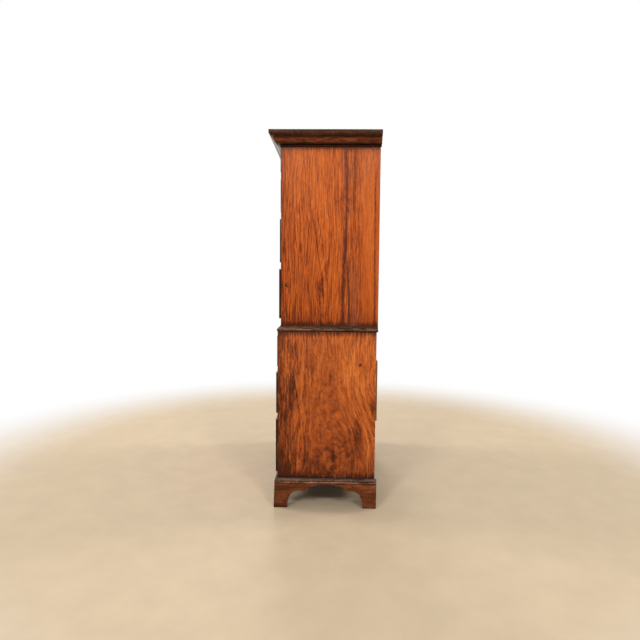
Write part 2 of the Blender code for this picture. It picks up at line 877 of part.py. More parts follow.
# A bail: a tube along a swan-neck line, from the pin in one post to the pin in the other
def bail(name, plan, centre, carrier):
    pin_start = bail_half_span - bail_pin_inset
    pin_end = pin_start + bail_pin_length - bail_pin_inset
    half_line = [(pin_start, 0, bail_pin_radius), (pin_end, 0, bail_pin_radius)]
    for width_share, drop_share in zip(bail_width_shares, bail_drop_shares):
        radius = bail_radius + (bail_grip_radius - bail_radius) * drop_share**2
        half_line.append((bail_width * width_share, -bail_drop * drop_share, radius))
    line = half_line + [(-x, z, radius) for x, z, radius in reversed(half_line[:-1])]
    curve = bpy.data.curves.new(name, "CURVE")
    curve.dimensions = "3D"
    curve.fill_mode = "FULL"
    curve.bevel_depth = 1
    curve.bevel_resolution = 1
    curve.use_fill_caps = True
    spline = curve.splines.new("POLY")
    spline.points.add(len(line) - 1)
    for point, (x, z, radius) in zip(spline.points, line):
        point.co = (x, 0, z, 1)
        point.radius = radius
    curve.materials.append(brass)
    node = bpy.data.objects.new(name, curve)
    bpy.context.collection.objects.link(node)
    node.parent = carrier
    node.location = Vector((centre, *plan["bail_axis"])) - carrier.location
    return node


# Every drawer: its case, its level, its column and how far it rests out of its closed place
drawer_table = (
    ("lower_bottom", lower_case, lower_spans[0], 0, lower_bottom_pulled),
    ("lower_middle", lower_case, lower_spans[1], 0, lower_middle_pulled),
    ("lower_top", lower_case, lower_spans[2], 0, lower_top_pulled),
    ("upper_bottom", upper_case, upper_spans[0], 0, upper_bottom_pulled),
    ("upper_third", upper_case, upper_spans[1], 0, upper_third_pulled),
    ("upper_second", upper_case, upper_spans[2], 0, upper_second_pulled),
    ("upper_left", upper_case, upper_spans[3], 0, upper_short_pulled),
    ("upper_right", upper_case, upper_spans[3], 1, upper_short_pulled),
)
short_drawers = ("upper_left", "upper_right")


def plan_of(name, case, z_span, column, pulled):
    short = name in short_drawers
    x_span = columns_of(case, short)[column]
    if short:
        centres = [sum(x_span) / 2]
    else:
        centres = [bail_inset - lower_case["half"], lower_case["half"] - bail_inset]
    return drawer_plan(name, case, z_span, x_span, pulled, centres)


plans = [plan_of(*row) for row in drawer_table]


def drawer(plan):
    name = plan["name"]
    carrier = bpy.data.objects.new(name + "_drawer", None)
    carrier.location = ((plan["left"] + plan["right"]) / 2, plan["face"], plan["low"])
    bpy.context.collection.objects.link(carrier)
    bpy.context.view_layer.update()
    front = new_node(name + "_drawer_front", drawer_front(plan), straight_mahogany)
    box = new_node(name + "_drawer_box", drawer_box(plan), oak)
    for piece in (front, box):
        piece.parent = carrier
        piece.matrix_parent_inverse = Matrix.Translation(-carrier.location)
    if len(plan["bail_centres"]) == 1:
        bail(name + "_bail", plan, plan["bail_centres"][0], carrier)
    else:
        for side, centre in zip(("left", "right"), plan["bail_centres"]):
            bail(name + "_" + side + "_bail", plan, centre, carrier)


# The lower case
case_side("lower_side_left", lower_case, -1, figured_mahogany)
case_side("lower_side_right", lower_case, 1, figured_mahogany)
case_bottom("lower_bottom_board", lower_case)
case_top("lower_top_board", lower_case)
for number, z_span in enumerate(lower_case["rails"], 1):
    divider("lower_divider_" + str(number), lower_case, z_span, False)
case_back("lower_back", lower_case)
back_patch()
base_moulding()
for end_name, end in (("front", -1), ("rear", 1)):
    for hand_name, hand in (("left", -1), ("right", 1)):
        bracket_foot("bracket_foot_" + end_name + "_" + hand_name, hand, end)
waist_moulding()

# The upper case
case_side("upper_side_left", upper_case, -1, straight_mahogany)
case_side("upper_side_right", upper_case, 1, straight_mahogany)
case_bottom("upper_bottom_board", upper_case)
case_top("upper_top_board", upper_case)
for number, z_span in enumerate(upper_case["rails"][:-1], 1):
    divider("upper_divider_" + str(number), upper_case, z_span, number == len(upper_spans) - 1)
top_rail("upper_top_rail", upper_case, top_rail_span)
case_back("upper_back", upper_case)
cornice()

# The drawers
for plan in plans:
    drawer(plan)
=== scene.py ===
import json
import math
import random

import bmesh
import bpy
from mathutils import Matrix, Quaternion, Vector


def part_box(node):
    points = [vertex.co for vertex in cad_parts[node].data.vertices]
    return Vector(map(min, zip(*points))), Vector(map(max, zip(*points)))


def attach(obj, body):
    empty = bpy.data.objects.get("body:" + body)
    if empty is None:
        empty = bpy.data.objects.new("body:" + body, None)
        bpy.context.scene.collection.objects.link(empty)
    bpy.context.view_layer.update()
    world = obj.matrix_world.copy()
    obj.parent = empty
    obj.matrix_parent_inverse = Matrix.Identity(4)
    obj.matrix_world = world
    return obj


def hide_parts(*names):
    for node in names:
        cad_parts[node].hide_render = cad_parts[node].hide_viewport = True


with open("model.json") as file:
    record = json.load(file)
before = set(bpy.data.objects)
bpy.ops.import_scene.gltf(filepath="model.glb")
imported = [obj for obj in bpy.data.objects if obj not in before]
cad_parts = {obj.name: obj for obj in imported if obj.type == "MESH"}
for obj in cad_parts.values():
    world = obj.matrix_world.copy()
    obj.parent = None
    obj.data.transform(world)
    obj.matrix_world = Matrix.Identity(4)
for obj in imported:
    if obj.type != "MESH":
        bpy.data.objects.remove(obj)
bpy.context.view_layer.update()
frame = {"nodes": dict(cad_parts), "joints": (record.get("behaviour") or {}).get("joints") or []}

nodes = frame["nodes"]
hands = (("left", -1), ("right", 1))
touchGap = 0.0003
weldGap = 0.00001
quarterTurn = math.pi / 2
random.seed(7)


# sRGB numbers from 0 to 255 as the linear colour that a socket takes
def paint(red, green, blue):
    linear = []
    for part in (red, green, blue):
        share = part / 255
        linear.append(share / 12.92 if share <= 0.04045 else ((share + 0.055) / 1.055) ** 2.4)
    return (*linear, 1.0)


# The stops of a colour ramp, from (place, red, green, blue)
def shades(*stops):
    return [(place, paint(*colour)) for place, *colour in stops]


# Camera: where the photographer stood, from the perspective of the floor, the cornice and the wall's courses
photoView = {
    "place": (3.1275, 0.0300, 1.151),
    "turn": math.radians(1.10),
    "tilt": math.radians(4.967),
    "roll": math.radians(0.42),
    "focalPixels": 547.4,
    "pictureWidth": 640,
    "sensorWidth": 36,
}


def addCamera(look):
    bpy.ops.object.camera_add(location=look["place"])
    camera = bpy.context.object
    camera.name = "photoCamera"
    level = math.cos(look["tilt"])
    aim = Vector((-math.cos(look["turn"]) * level, -math.sin(look["turn"]) * level, -math.sin(look["tilt"])))
    camera.rotation_mode = "QUATERNION"
    camera.rotation_quaternion = aim.to_track_quat("-Z", "Y") @ Quaternion((0, 0, 1), look["roll"])
    camera.data.sensor_width = look["sensorWidth"]
    camera.data.lens = look["sensorWidth"] * look["focalPixels"] / look["pictureWidth"]
    bpy.context.scene.camera = camera


# Light: a pale room all round, a large soft panel overhead and a soft lamp toward each corner of the chest
studio = {
    "roomLevel": 0.38,
    "lamps": (
        {"name": "overheadPanel", "place": (0.2, -0.2, 3.8), "aim": (0, 0, 0.6), "size": 3.0, "power": 16},
        {"name": "sideLampLeft", "place": (5.6, -2.4, 4.9), "aim": (0.5, 0, 0.9), "size": 1.1, "power": 160},
        {"name": "sideLampRight", "place": (5.6, 2.5, 4.9), "aim": (0.5, 0, 0.9), "size": 1.1, "power": 160},
        {"name": "frontLamp", "place": (-1.2, -5.6, 4.9), "aim": (0, -0.2, 0.9), "size": 1.6, "power": 195},
        {"name": "backLamp", "place": (-1.5, 5.4, 4.9), "aim": (0, 0.2, 0.9), "size": 1.6, "power": 165},
        {"name": "leftLamp", "place": (-5.6, -0.6, 4.9), "aim": (-0.5, 0, 0.9), "size": 1.6, "power": 185},
    ),
    "floorSize": 16,
    "floorColour": paint(188, 168, 139),
    "floorMottle": (7.0, 6.0, 0.6),
    "floorTone": (0.2, 0.8, 0.94, 1.04),
    "floorRough": 0.75,
    "floorFade": (1.6, 2.8),
}


def addLamps(look):
    for lamp in look["lamps"]:
        bpy.ops.object.light_add(type="AREA", location=lamp["place"])
        light = bpy.context.object
        light.name = lamp["name"]
        light.data.size = lamp["size"]
        light.data.energy = lamp["power"]
        light.rotation_mode = "QUATERNION"
        light.rotation_quaternion = (Vector(lamp["aim"]) - Vector(lamp["place"])).to_track_quat("-Z", "Y")


# Node helpers: a value given to a socket is a link if it is another socket
def feed(tree, socket, value):
    if isinstance(value, bpy.types.NodeSocket):
        tree.links.new(value, socket)
    else:
        socket.default_value = value


def put(tree, kind, inputs=None, **settings):
    made = tree.nodes.new("ShaderNode" + kind)
    for key, value in settings.items():
        setattr(made, key, value)
    for key, value in (inputs or {}).items():
        feed(tree, made.inputs[key], value)
    return made


def sums(tree, operation, *values):
    return put(tree, "Math", dict(enumerate(values)), operation=operation).outputs[0]


# One value times another, plus a third where it is given
def times(tree, first, second, *added):
    return sums(tree, "MULTIPLY_ADD" if added else "MULTIPLY", first, second, *added)


def centred(tree, value):
    return sums(tree, "SUBTRACT", value, 0.5)


def vectors(tree, operation, *values):
    made = put(tree, "VectorMath", dict(enumerate(values)), operation=operation)
    return made.outputs["Value" if operation in ("DOT_PRODUCT", "LENGTH") else "Vector"]


def joinAxes(tree, *values):
    return put(tree, "CombineXYZ", dict(enumerate(values))).outputs[0]


def splitAxes(tree, vector):
    return put(tree, "SeparateXYZ", {"Vector": vector}).outputs


def straight(tree, value, start, end, low=0.0, high=1.0, **settings):
    given = {"Value": value, "From Min": start, "From Max": end, "To Min": low, "To Max": high}
    return put(tree, "MapRange", given, **settings).outputs["Result"]


def ease(tree, value, start, end, low=0.0, high=1.0):
    return straight(tree, value, start, end, low, high, interpolation_type="SMOOTHSTEP")


def noise(tree, place, scale, detail=2.0, roughness=0.5, twist=0.0):
    given = {"Vector": place, "Scale": scale, "Detail": detail, "Roughness": roughness, "Distortion": twist}
    return put(tree, "TexNoise", given).outputs[0]


def blendColours(tree, share, first, second, blend="MIX"):
    given = {"Factor": share, 6: first, 7: second}
    return put(tree, "Mix", given, data_type="RGBA", blend_type=blend).outputs[2]


def blendVectors(tree, share, first, second):
    return put(tree, "Mix", {"Factor": share, 4: first, 5: second}, data_type="VECTOR").outputs[1]


def ramp(tree, value, stops):
    made = put(tree, "ValToRGB", {"Fac": value})
    elements = made.color_ramp.elements
    elements.remove(elements[1])
    elements[0].position, elements[0].color = stops[0]
    for position, colour in stops[1:]:
        elements.new(position).color = colour
    return made.outputs["Color"]


# A shader group, from its inputs with their usual values and its outputs with their kinds
def newGroup(name, inputs, outputs):
    group = bpy.data.node_groups.new(name, "ShaderNodeTree")
    for label, value in inputs.items():
        kind = "Vector" if isinstance(value, tuple) else "Float"
        socket = group.interface.new_socket(name=label, in_out="INPUT", socket_type="NodeSocket" + kind)
        socket.default_value = value
    for label, kind in outputs.items():
        group.interface.new_socket(name=label, in_out="OUTPUT", socket_type="NodeSocket" + kind)
    return group, group.nodes.new("NodeGroupInput").outputs, group.nodes.new("NodeGroupOutput").inputs


def useGroup(tree, group, inputs):
    made = tree.nodes.new("ShaderNodeGroup")
    made.node_tree = group
    for key, value in inputs.items():
        feed(tree, made.inputs[key], value)
    return made.outputs


# Wood grain that runs along Z of Place: wide bands, streaks and fine fibres, each as scale, detail and
# roughness, and short open pores
grainShape = {
    "drift": 3.1,
    "Bands": (0.22, 2.0, 0.5),
    "Streaks": (1.0, 4.0, 0.62),
    "Fibres": (4.3, 3.0, 0.7),
    "contrast": (0.30, 0.70),
    "poreSize": (11.0, 11.0, 26.0),
    "poreContrast": (0.60, 0.70),
}


def makeGrainGroup(shape):
    group, given, result = newGroup(
        "woodGrain",
        {"Place": (0, 0, 0), "Fineness": 110.0, "Stretch": 26.0, "Bend": 0.01},
        {"Bands": "Float", "Streaks": "Float", "Fibres": "Float", "Pores": "Float"},
    )
    drift = put(group, "TexNoise", {"Vector": given["Place"], "Scale": shape["drift"], "Detail": 2.0})
    away = vectors(group, "SUBTRACT", drift.outputs["Color"], (0.5, 0.5, 0.5))
    reach = joinAxes(group, given["Bend"], given["Bend"], 0.0)
    bent = vectors(group, "MULTIPLY_ADD", away, reach, given["Place"])
    along = sums(group, "DIVIDE", given["Fineness"], given["Stretch"])
    fibre = vectors(group, "MULTIPLY", bent, joinAxes(group, given["Fineness"], given["Fineness"], along))
    for label in ("Bands", "Streaks", "Fibres"):
        feed(group, result[label], ease(group, noise(group, fibre, *shape[label]), *shape["contrast"]))
    pores = noise(group, vectors(group, "MULTIPLY", fibre, shape["poreSize"]), 1.0, 1.0)
    feed(group, result["Pores"], ease(group, pores, *shape["poreContrast"]))
    return group


# A soft round spot: 1 at its centre, fading over its reach
def makeSpotGroup():
    inputs = {"Place": (0, 0, 0), "Centre": (0, 0, 0), "Reach": (1, 1, 1)}
    group, given, result = newGroup("softSpot", inputs, {"Spot": "Float"})
    offset = vectors(group, "SUBTRACT", given["Place"], given["Centre"])
    away = vectors(group, "DIVIDE", offset, given["Reach"])
    squared = vectors(group, "DOT_PRODUCT", away, away)
    feed(group, result["Spot"], sums(group, "EXPONENT", times(group, squared, -1.0)))
    return group


# Where an edge is rubbed, and a normal that rounds it
wearShape = {"samples": 4, "edge": (0.985, 0.80), "patchDetail": 4.0, "patches": (0.42, 0.62)}


def makeWearGroup(shape):
    inputs = {"Place": (0, 0, 0), "Radius": 0.002, "Patchiness": 60.0}
    group, given, result = newGroup("edgeWear", inputs, {"Worn": "Float", "Normal": "Vector"})
    rounded = put(group, "Bevel", {"Radius": given["Radius"]}, samples=shape["samples"]).outputs[0]
    turned = vectors(group, "DOT_PRODUCT", rounded, put(group, "NewGeometry").outputs["Normal"])
    patches = noise(group, given["Place"], given["Patchiness"], shape["patchDetail"])
    worn = times(group, ease(group, turned, *shape["edge"]), ease(group, patches, *shape["patches"]))
    feed(group, result["Worn"], worn)
    feed(group, result["Normal"], rounded)
    return group


# Darkening where ambient occlusion finds corners and recesses, partly dirt and partly painted shade, and dust
# that lies on what faces up, both in patches
grimeAndShadeShape = {
    "samples": 6,
    "patchNoise": (14.0, 5.0),
    "Dirt": ((0.86, 0.25), (0.2, 0.6, 0.45, 1.0)),
    "Dust": ((0.5, 0.98), (0.35, 0.7, 0.25, 1.0)),
}


def makeGrimeAndShadeGroup(shape):
    inputs = {"Place": (0, 0, 0), "Reach": 0.02}
    group, given, result = newGroup("grime", inputs, {"Dirt": "Float", "Dust": "Float"})
    hollows = put(group, "AmbientOcclusion", {"Distance": given["Reach"]}, samples=shape["samples"])
    upward = vectors(group, "DOT_PRODUCT", put(group, "NewGeometry").outputs["Normal"], (0.0, 0.0, 1.0))
    patches = noise(group, given["Place"], *shape["patchNoise"])
    for label, source in (("Dirt", hollows.outputs["AO"]), ("Dust", upward)):
        limits, spread = shape[label]
        feed(group, result[label], times(group, ease(group, source, *limits), ease(group, patches, *spread)))
    return group


grainGroup = makeGrainGroup(grainShape)
spotGroup = makeSpotGroup()
wearGroup = makeWearGroup(wearShape)
grimeAndShadeGroup = makeGrimeAndShadeGroup(grimeAndShadeShape)
grainOrder = {"X": "YZX", "Y": "XZY", "Z": "XYZ", "round": "YZX"}
sideLimit = 0.7


def variant(base, **changes):
    return {**base, **changes}


def newMaterial(name):
    made = bpy.data.materials.new(name)
    made.use_nodes = True
    tree = made.node_tree
    return made, tree, tree.nodes["Principled BSDF"], put(tree, "TexCoord").outputs["Object"]


# The grain of a wood along the third axis of a place, and the tone that it gives
def layGrain(tree, lined, look, tone=0.5, steady=1.0):
    grain = useGroup(tree, grainGroup, {
        "Place": lined,
        "Fineness": look["fineness"],
        "Stretch": look["stretch"],
        "Bend": look["bend"],
    })
    for label, weight in zip(("Bands", "Streaks", "Fibres"), look["weights"]):
        tone = times(tree, times(tree, centred(tree, grain[label]), steady), weight, tone)
    return grain, tone


# Faces with a colour of their own or painted shade in some looks: key, axis of the normal, what is done to
# it, and its limit
tintedFaces = (
    # End faces: partly darker end grain, partly painted shade
    ("endColour", "X", ("ABSOLUTE",), 0.8),
    ("rearColour", "Y", ("MULTIPLY", 1.0), 0.7),
    # Undersides: painted shade
    ("underColour", "Z", ("MULTIPLY", -1.0), 0.7),
)


# Any of the woods. A field adds its own figure: how far it carries the grain sideways, its tone, how steady
# the grain is, and its stains.
def woodMaterial(name, base, field=None, **changes):
    look = variant(base, **changes)
    made, tree, shader, place = newMaterial(name)
    parts = splitAxes(tree, place)
    ordered = [parts[axis] for axis in grainOrder[look["grain"]]]
    tone = 0.5
    steady = 1.0
    stains = []
    if field:
        shift, tone, steady, stains = field(tree, parts)
        ordered[1] = sums(tree, "ADD", ordered[1], shift)
    lined = joinAxes(tree, *ordered)
    if look["grain"] == "round":
        across = splitAxes(tree, put(tree, "TexCoord").outputs["Normal"])["X"]
        sideways = sums(tree, "GREATER_THAN", sums(tree, "ABSOLUTE", across), sideLimit)
        lined = blendVectors(tree, sideways, lined, joinAxes(tree, parts["X"], parts["Z"], parts["Y"]))
    if "boardWidth" in look:
        along = sums(tree, "SUBTRACT", parts[look["boardAxis"]], look["boardStart"])
        count = sums(tree, "DIVIDE", along, look["boardWidth"])
        board = sums(tree, "FLOOR", count)
        chance = put(tree, "TexWhiteNoise", {"W": board}, noise_dimensions="1D").outputs["Value"]
        tone = times(tree, centred(tree, chance), look["boardSpread"], tone)
        lined = vectors(tree, "ADD", lined, times(tree, chance, look["boardShift"]))
        away = times(tree, sums(tree, "PINGPONG", count, 0.5), look["boardWidth"])
        joint = ease(tree, away, *look["jointEdge"])
    grain, tone = layGrain(tree, lined, look, tone, steady)
    # On mouldings the colour comes from bands by height that hold painted light and shade on the profile as
    # well as the wood's own colour
    if "zones" in look:
        lift = times(tree, centred(tree, tone), look["contrast"], 1.0)
        share = straight(tree, parts["Z"], *look["zoneSpan"])
        colour = vectors(tree, "MULTIPLY", ramp(tree, share, look["zones"]), lift)
    else:
        colour = ramp(tree, tone, look["colours"])
    for mask, stain in stains:
        colour = blendColours(tree, mask, colour, stain)
    for key, axis, (operation, *factor), limit in tintedFaces:
        if key in look:
            normal = splitAxes(tree, put(tree, "NewGeometry").outputs["True Normal"])
            mask = sums(tree, "GREATER_THAN", sums(tree, operation, normal[axis], *factor), limit)
            colour = blendColours(tree, mask, colour, look[key])
    if "scuff" in look:
        rubs = noise(tree, place, look["scuffScale"], *look["scuffDetail"])
        rubbed = ease(tree, rubs, *look["scuffEdge"], 0.0, look["scuff"])
        colour = blendColours(tree, rubbed, colour, look["scuffColour"])
    # The occlusion mask darkens corners and joints: partly dirt, partly painted shade
    grime = useGroup(tree, grimeAndShadeGroup, {"Place": place, "Reach": look["dirtReach"]})
    wear = useGroup(tree, wearGroup, {"Place": place, "Radius": look["edgeRadius"]})
    for mask, amount, over in (
        (grain["Pores"], "pores", "poreColour"),
        (wear["Worn"], "wear", "wornColour"),
        (grime["Dirt"], "dirt", "dirtColour"),
        (grime["Dust"], "dust", "dustColour"),
    ):
        colour = blendColours(tree, times(tree, mask, look[amount]), colour, look[over])
    relief = sums(tree, "SUBTRACT", times(tree, grain["Fibres"], look["fibreRelief"]), grain["Pores"])
    if "boardWidth" in look:
        colour = blendColours(tree, joint, colour, look["jointColour"])
        relief = times(tree, joint, look["jointRelief"], relief)
    feed(tree, shader.inputs["Base Color"], colour)
    rough = times(tree, grain["Streaks"], look["roughSpread"], look["rough"])
    feed(tree, shader.inputs["Roughness"], times(tree, grime["Dirt"], look["dirtRough"], rough))
    addRelief(tree, shader, relief, look, wear)
    shader.inputs["Specular IOR Level"].default_value = look["sheen"]
    shader.inputs["Specular Tint"].default_value = look["sheenColour"]
    return made


def addRelief(tree, shader, height, look, wear):
    given = {"Height": height, "Strength": look["relief"], "Distance": look["reliefDepth"]}
    bump = put(tree, "Bump", {**given, "Normal": wear["Normal"]})
    feed(tree, shader.inputs["Normal"], bump.outputs[0])


polish = {
    "grain": "Z",
    "fineness": 105.0,
    "stretch": 6.5,
    "bend": 0.010,
    "weights": (0.16, 0.56, 0.26),
    "colours": shades(
        (0.02, 70, 26, 12), (0.26, 128, 54, 24), (0.50, 178, 83, 33), (0.74, 204, 103, 40),
        (1.0, 222, 128, 58),
    ),
    "pores": 0.35,
    "poreColour": paint(84, 32, 14),
    "dirt": 0.75,
    "dirtReach": 0.018,
    "dirtColour": paint(30, 16, 11),
    "edgeRadius": 0.002,
    "wear": 0.35,
    "wornColour": paint(196, 122, 78),
    "dust": 0.0,
    "dustColour": paint(150, 138, 122),
    "rough": 0.36,
    "roughSpread": 0.14,
    "dirtRough": 0.3,
    "fibreRelief": 0.35,
    "relief": 0.25,
    "reliefDepth": 0.0004,
    "sheen": 0.30,
    "sheenColour": paint(255, 200, 160),
}


def heights(node):
    low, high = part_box(node)
    return low.z, high.z


# A line of grain that is drawn through (height, depth) points and shows between two heights
def grainLine(points, width, floor, top, tone, core=0.2, stain=None, stainAmount=0.0):
    return {
        "points": points,
        "width": width,
        "floor": floor,
        "top": top,
        "tone": tone,
        "core": core,
        "stain": stain,
        "stainAmount": stainAmount,
    }


# How such lines waver, how far their ends fade, and how flecks break them up
lineShape = {
    "waver": 1.2,
    "waverNoise": (24.0, 3.0),
    "fade": 0.03,
    "fleckStretch": 0.3,
    "fleckNoise": (130.0, 3.0, 0.6),
    "broken": (0.34, 0.60, 0.50, 1.10),
}


# How near a place is to a drawn line
def nearLine(tree, parts, box, line, shape):
    low, high = box
    curve = put(tree, "FloatCurve", {"Value": straight(tree, parts["Z"], low.z, high.z)})
    points = curve.mapping.curves[0].points
    places = [((z - low.z) / (high.z - low.z), (y - low.y) / (high.y - low.y)) for z, y in line["points"]]
    points[0].location = places[0]
    points[1].location = places[-1]
    for place in places[1:-1]:
        points.new(*place)
    curve.mapping.update()
    middle = times(tree, curve.outputs[0], high.y - low.y, low.y)
    waver = centred(tree, noise(tree, joinAxes(tree, parts["Z"]), *shape["waverNoise"]))
    middle = times(tree, waver, line["width"] * shape["waver"], middle)
    away = sums(tree, "ABSOLUTE", sums(tree, "SUBTRACT", parts["Y"], middle))
    near = ease(tree, away, line["width"], line["width"] * line["core"])
    begun = ease(tree, parts["Z"], line["floor"] - shape["fade"], line["floor"] + shape["fade"])
    ended = ease(tree, parts["Z"], line["top"] + shape["fade"], line["top"] - shape["fade"])
    return times(tree, near, times(tree, begun, ended))


# The figure of a side: spots that bend the grain, a calm board, a fan, mottled places, tones that darken
# toward the ends, and drawn lines
# Some of the tones toward the ends are painted shadow under the mouldings
def sideField(figure, box):
    def field(tree, parts):
        flat = joinAxes(tree, parts["Y"], parts["Z"])

        def spots(listed, total):
            for y, z, wide, tall, amount in listed:
                given = {"Place": flat, "Centre": (y, z, 0), "Reach": (wide, tall, 1)}
                total = times(tree, useGroup(tree, spotGroup, given)["Spot"], amount, total)
            return total

        def region(area):
            share = ease(tree, parts["Z"], *area["height"])
            return times(tree, share, ease(tree, parts["Y"], *area["depth"]))

        wander = centred(tree, noise(tree, flat, *figure["wanderNoise"]))
        shift = spots(figure["bends"], times(tree, wander, figure["wander"]))
        tone = spots(figure["patches"], 0.5)
        for start, end, amount in figure["fades"]:
            tone = times(tree, ease(tree, parts["Z"], start, end), amount, tone)
        steady = 1.0
        if "calm" in figure:
            steady = times(tree, region(figure["calm"]), figure["calm"]["amount"], 1.0)
        if "fan" in figure:
            shift = times(tree, region(figure["fan"]), figure["fan"]["amount"], shift)
            mottle = noise(tree, flat, *figure["mottleNoise"])
            area = sums(tree, "MINIMUM", spots(figure["mottled"], 0.0), 1.0)
            steady = times(tree, area, figure["mottleCalm"], 1.0)
            tone = times(tree, times(tree, centred(tree, mottle), area), figure["mottleWeight"], tone)
        stains = []
        long = joinAxes(tree, parts["Y"], times(tree, parts["Z"], lineShape["fleckStretch"]))
        flecks = noise(tree, long, *lineShape["fleckNoise"])
        broken = ease(tree, flecks, *lineShape["broken"])
        for line in figure["lines"]:
            near = times(tree, nearLine(tree, parts, box, line, lineShape), broken)
            tone = times(tree, near, line["tone"], tone)
            if line["stain"]:
                stains.append((times(tree, near, line["stainAmount"]), line["stain"]))
        return shift, tone, steady, stains
    return field


# A tone that changes from front to back
def depthField(start, end, amount):
    def field(tree, parts):
        return 0.0, times(tree, ease(tree, parts["Y"], start, end), amount, 0.5), 1.0, []
    return field


# The upper side: straight grain with an arch in it, a dark streak that forks, and a join to a brighter board
upperFigure = {
    "wander": 0.012,
    "wanderNoise": (4.2, 3.0),
    "calm": {"height": (1.66, 1.48), "depth": (0.168, 0.180), "amount": -0.45},
    "bends": (
        (-0.045, 1.06, 0.040, 0.21, 0.032), (0.060, 1.22, 0.035, 0.16, -0.012),
        (-0.150, 1.45, 0.030, 0.20, 0.014), (-0.185, 1.088, 0.007, 0.012, 0.014),
    ),
    "patches": (
        (-0.02, 1.50, 0.12, 0.22, 0.06), (0.215, 1.30, 0.035, 0.42, 0.17),
        (0.150, 1.05, 0.030, 0.22, -0.15), (0.125, 1.42, 0.026, 0.34, -0.10),
        (0.085, 1.30, 0.020, 0.40, -0.05), (-0.215, 1.35, 0.034, 0.60, -0.20),
        (-0.206, 1.60, 0.026, 0.15, -0.14), (-0.211, 1.03, 0.005, 0.17, -0.34),
        (-0.185, 1.088, 0.006, 0.009, -0.34), (-0.166, 1.468, 0.005, 0.012, -0.30),
        (-0.022, 1.590, 0.006, 0.008, -0.20), (0.056, 1.483, 0.006, 0.008, -0.22),
        (-0.07, 0.98, 0.06, 0.12, -0.10), (-0.15, 1.00, 0.05, 0.15, -0.08),
    ),
    # Darker toward the foot of the side, and at its top painted shadow under the cornice
    "fades": (
        (0.990, 0.920, -0.14), (0.922, 0.896, -0.36), (1.700, 1.735, -0.20), (1.7200, 1.7375, -0.42),
    ),
    "lines": (
        grainLine(
            ((0.98, -0.004), (1.105, -0.010), (1.196, -0.025), (1.288, -0.037), (1.379, -0.052),
             (1.458, -0.068)),
            width=0.0055, floor=1.02, top=1.45, tone=-0.32,
        ),
        grainLine(
            ((1.12, -0.096), (1.165, -0.092), (1.239, -0.083), (1.318, -0.079), (1.410, -0.070)),
            width=0.0050, floor=1.17, top=1.40, tone=-0.30,
        ),
        grainLine(
            ((1.06, 0.012), (1.166, 0.003), (1.276, -0.010), (1.379, -0.028), (1.46, -0.044)),
            width=0.0050, floor=1.12, top=1.42, tone=-0.26,
        ),
        grainLine(
            ((0.87, 0.140), (1.05, 0.139), (1.20, 0.134), (1.40, 0.130)),
            width=0.040, floor=0.86, top=1.20, tone=0.04, core=0.10,
            stain=paint(150, 84, 60), stainAmount=0.42,
        ),
        grainLine(
            ((0.90, 0.086), (1.00, 0.087), (1.12, 0.091), (1.26, 0.097), (1.40, 0.102), (1.56, 0.101),
             (1.73, 0.099)),
            width=0.0125, floor=0.86, top=1.80, tone=-0.28, core=0.10,
            stain=paint(82, 38, 34), stainAmount=0.72,
        ),
        grainLine(
            ((0.90, 0.121), (1.00, 0.118), (1.10, 0.114), (1.20, 0.106), (1.25, 0.099)),
            width=0.008, floor=0.86, top=1.20, tone=-0.30, stain=paint(78, 38, 26), stainAmount=0.65,
        ),
        grainLine(
            ((1.50, 0.140), (1.60, 0.139), (1.70, 0.140), (1.79, 0.142)),
            width=0.006, floor=1.54, top=1.85, tone=-0.30, stain=paint(96, 42, 20), stainAmount=0.6,
        ),
        grainLine(
            ((0.87, 0.176), (1.20, 0.174), (1.50, 0.173), (1.79, 0.172)),
            width=0.0022, floor=0.80, top=1.42, tone=-0.18, core=0.3,
        ),
        grainLine(
            ((0.87, 0.243), (1.10, 0.240), (1.40, 0.237), (1.79, 0.238)),
            width=0.005, floor=0.80, top=1.62, tone=-0.40, stain=paint(104, 44, 20), stainAmount=0.4,
        ),
    ),
}

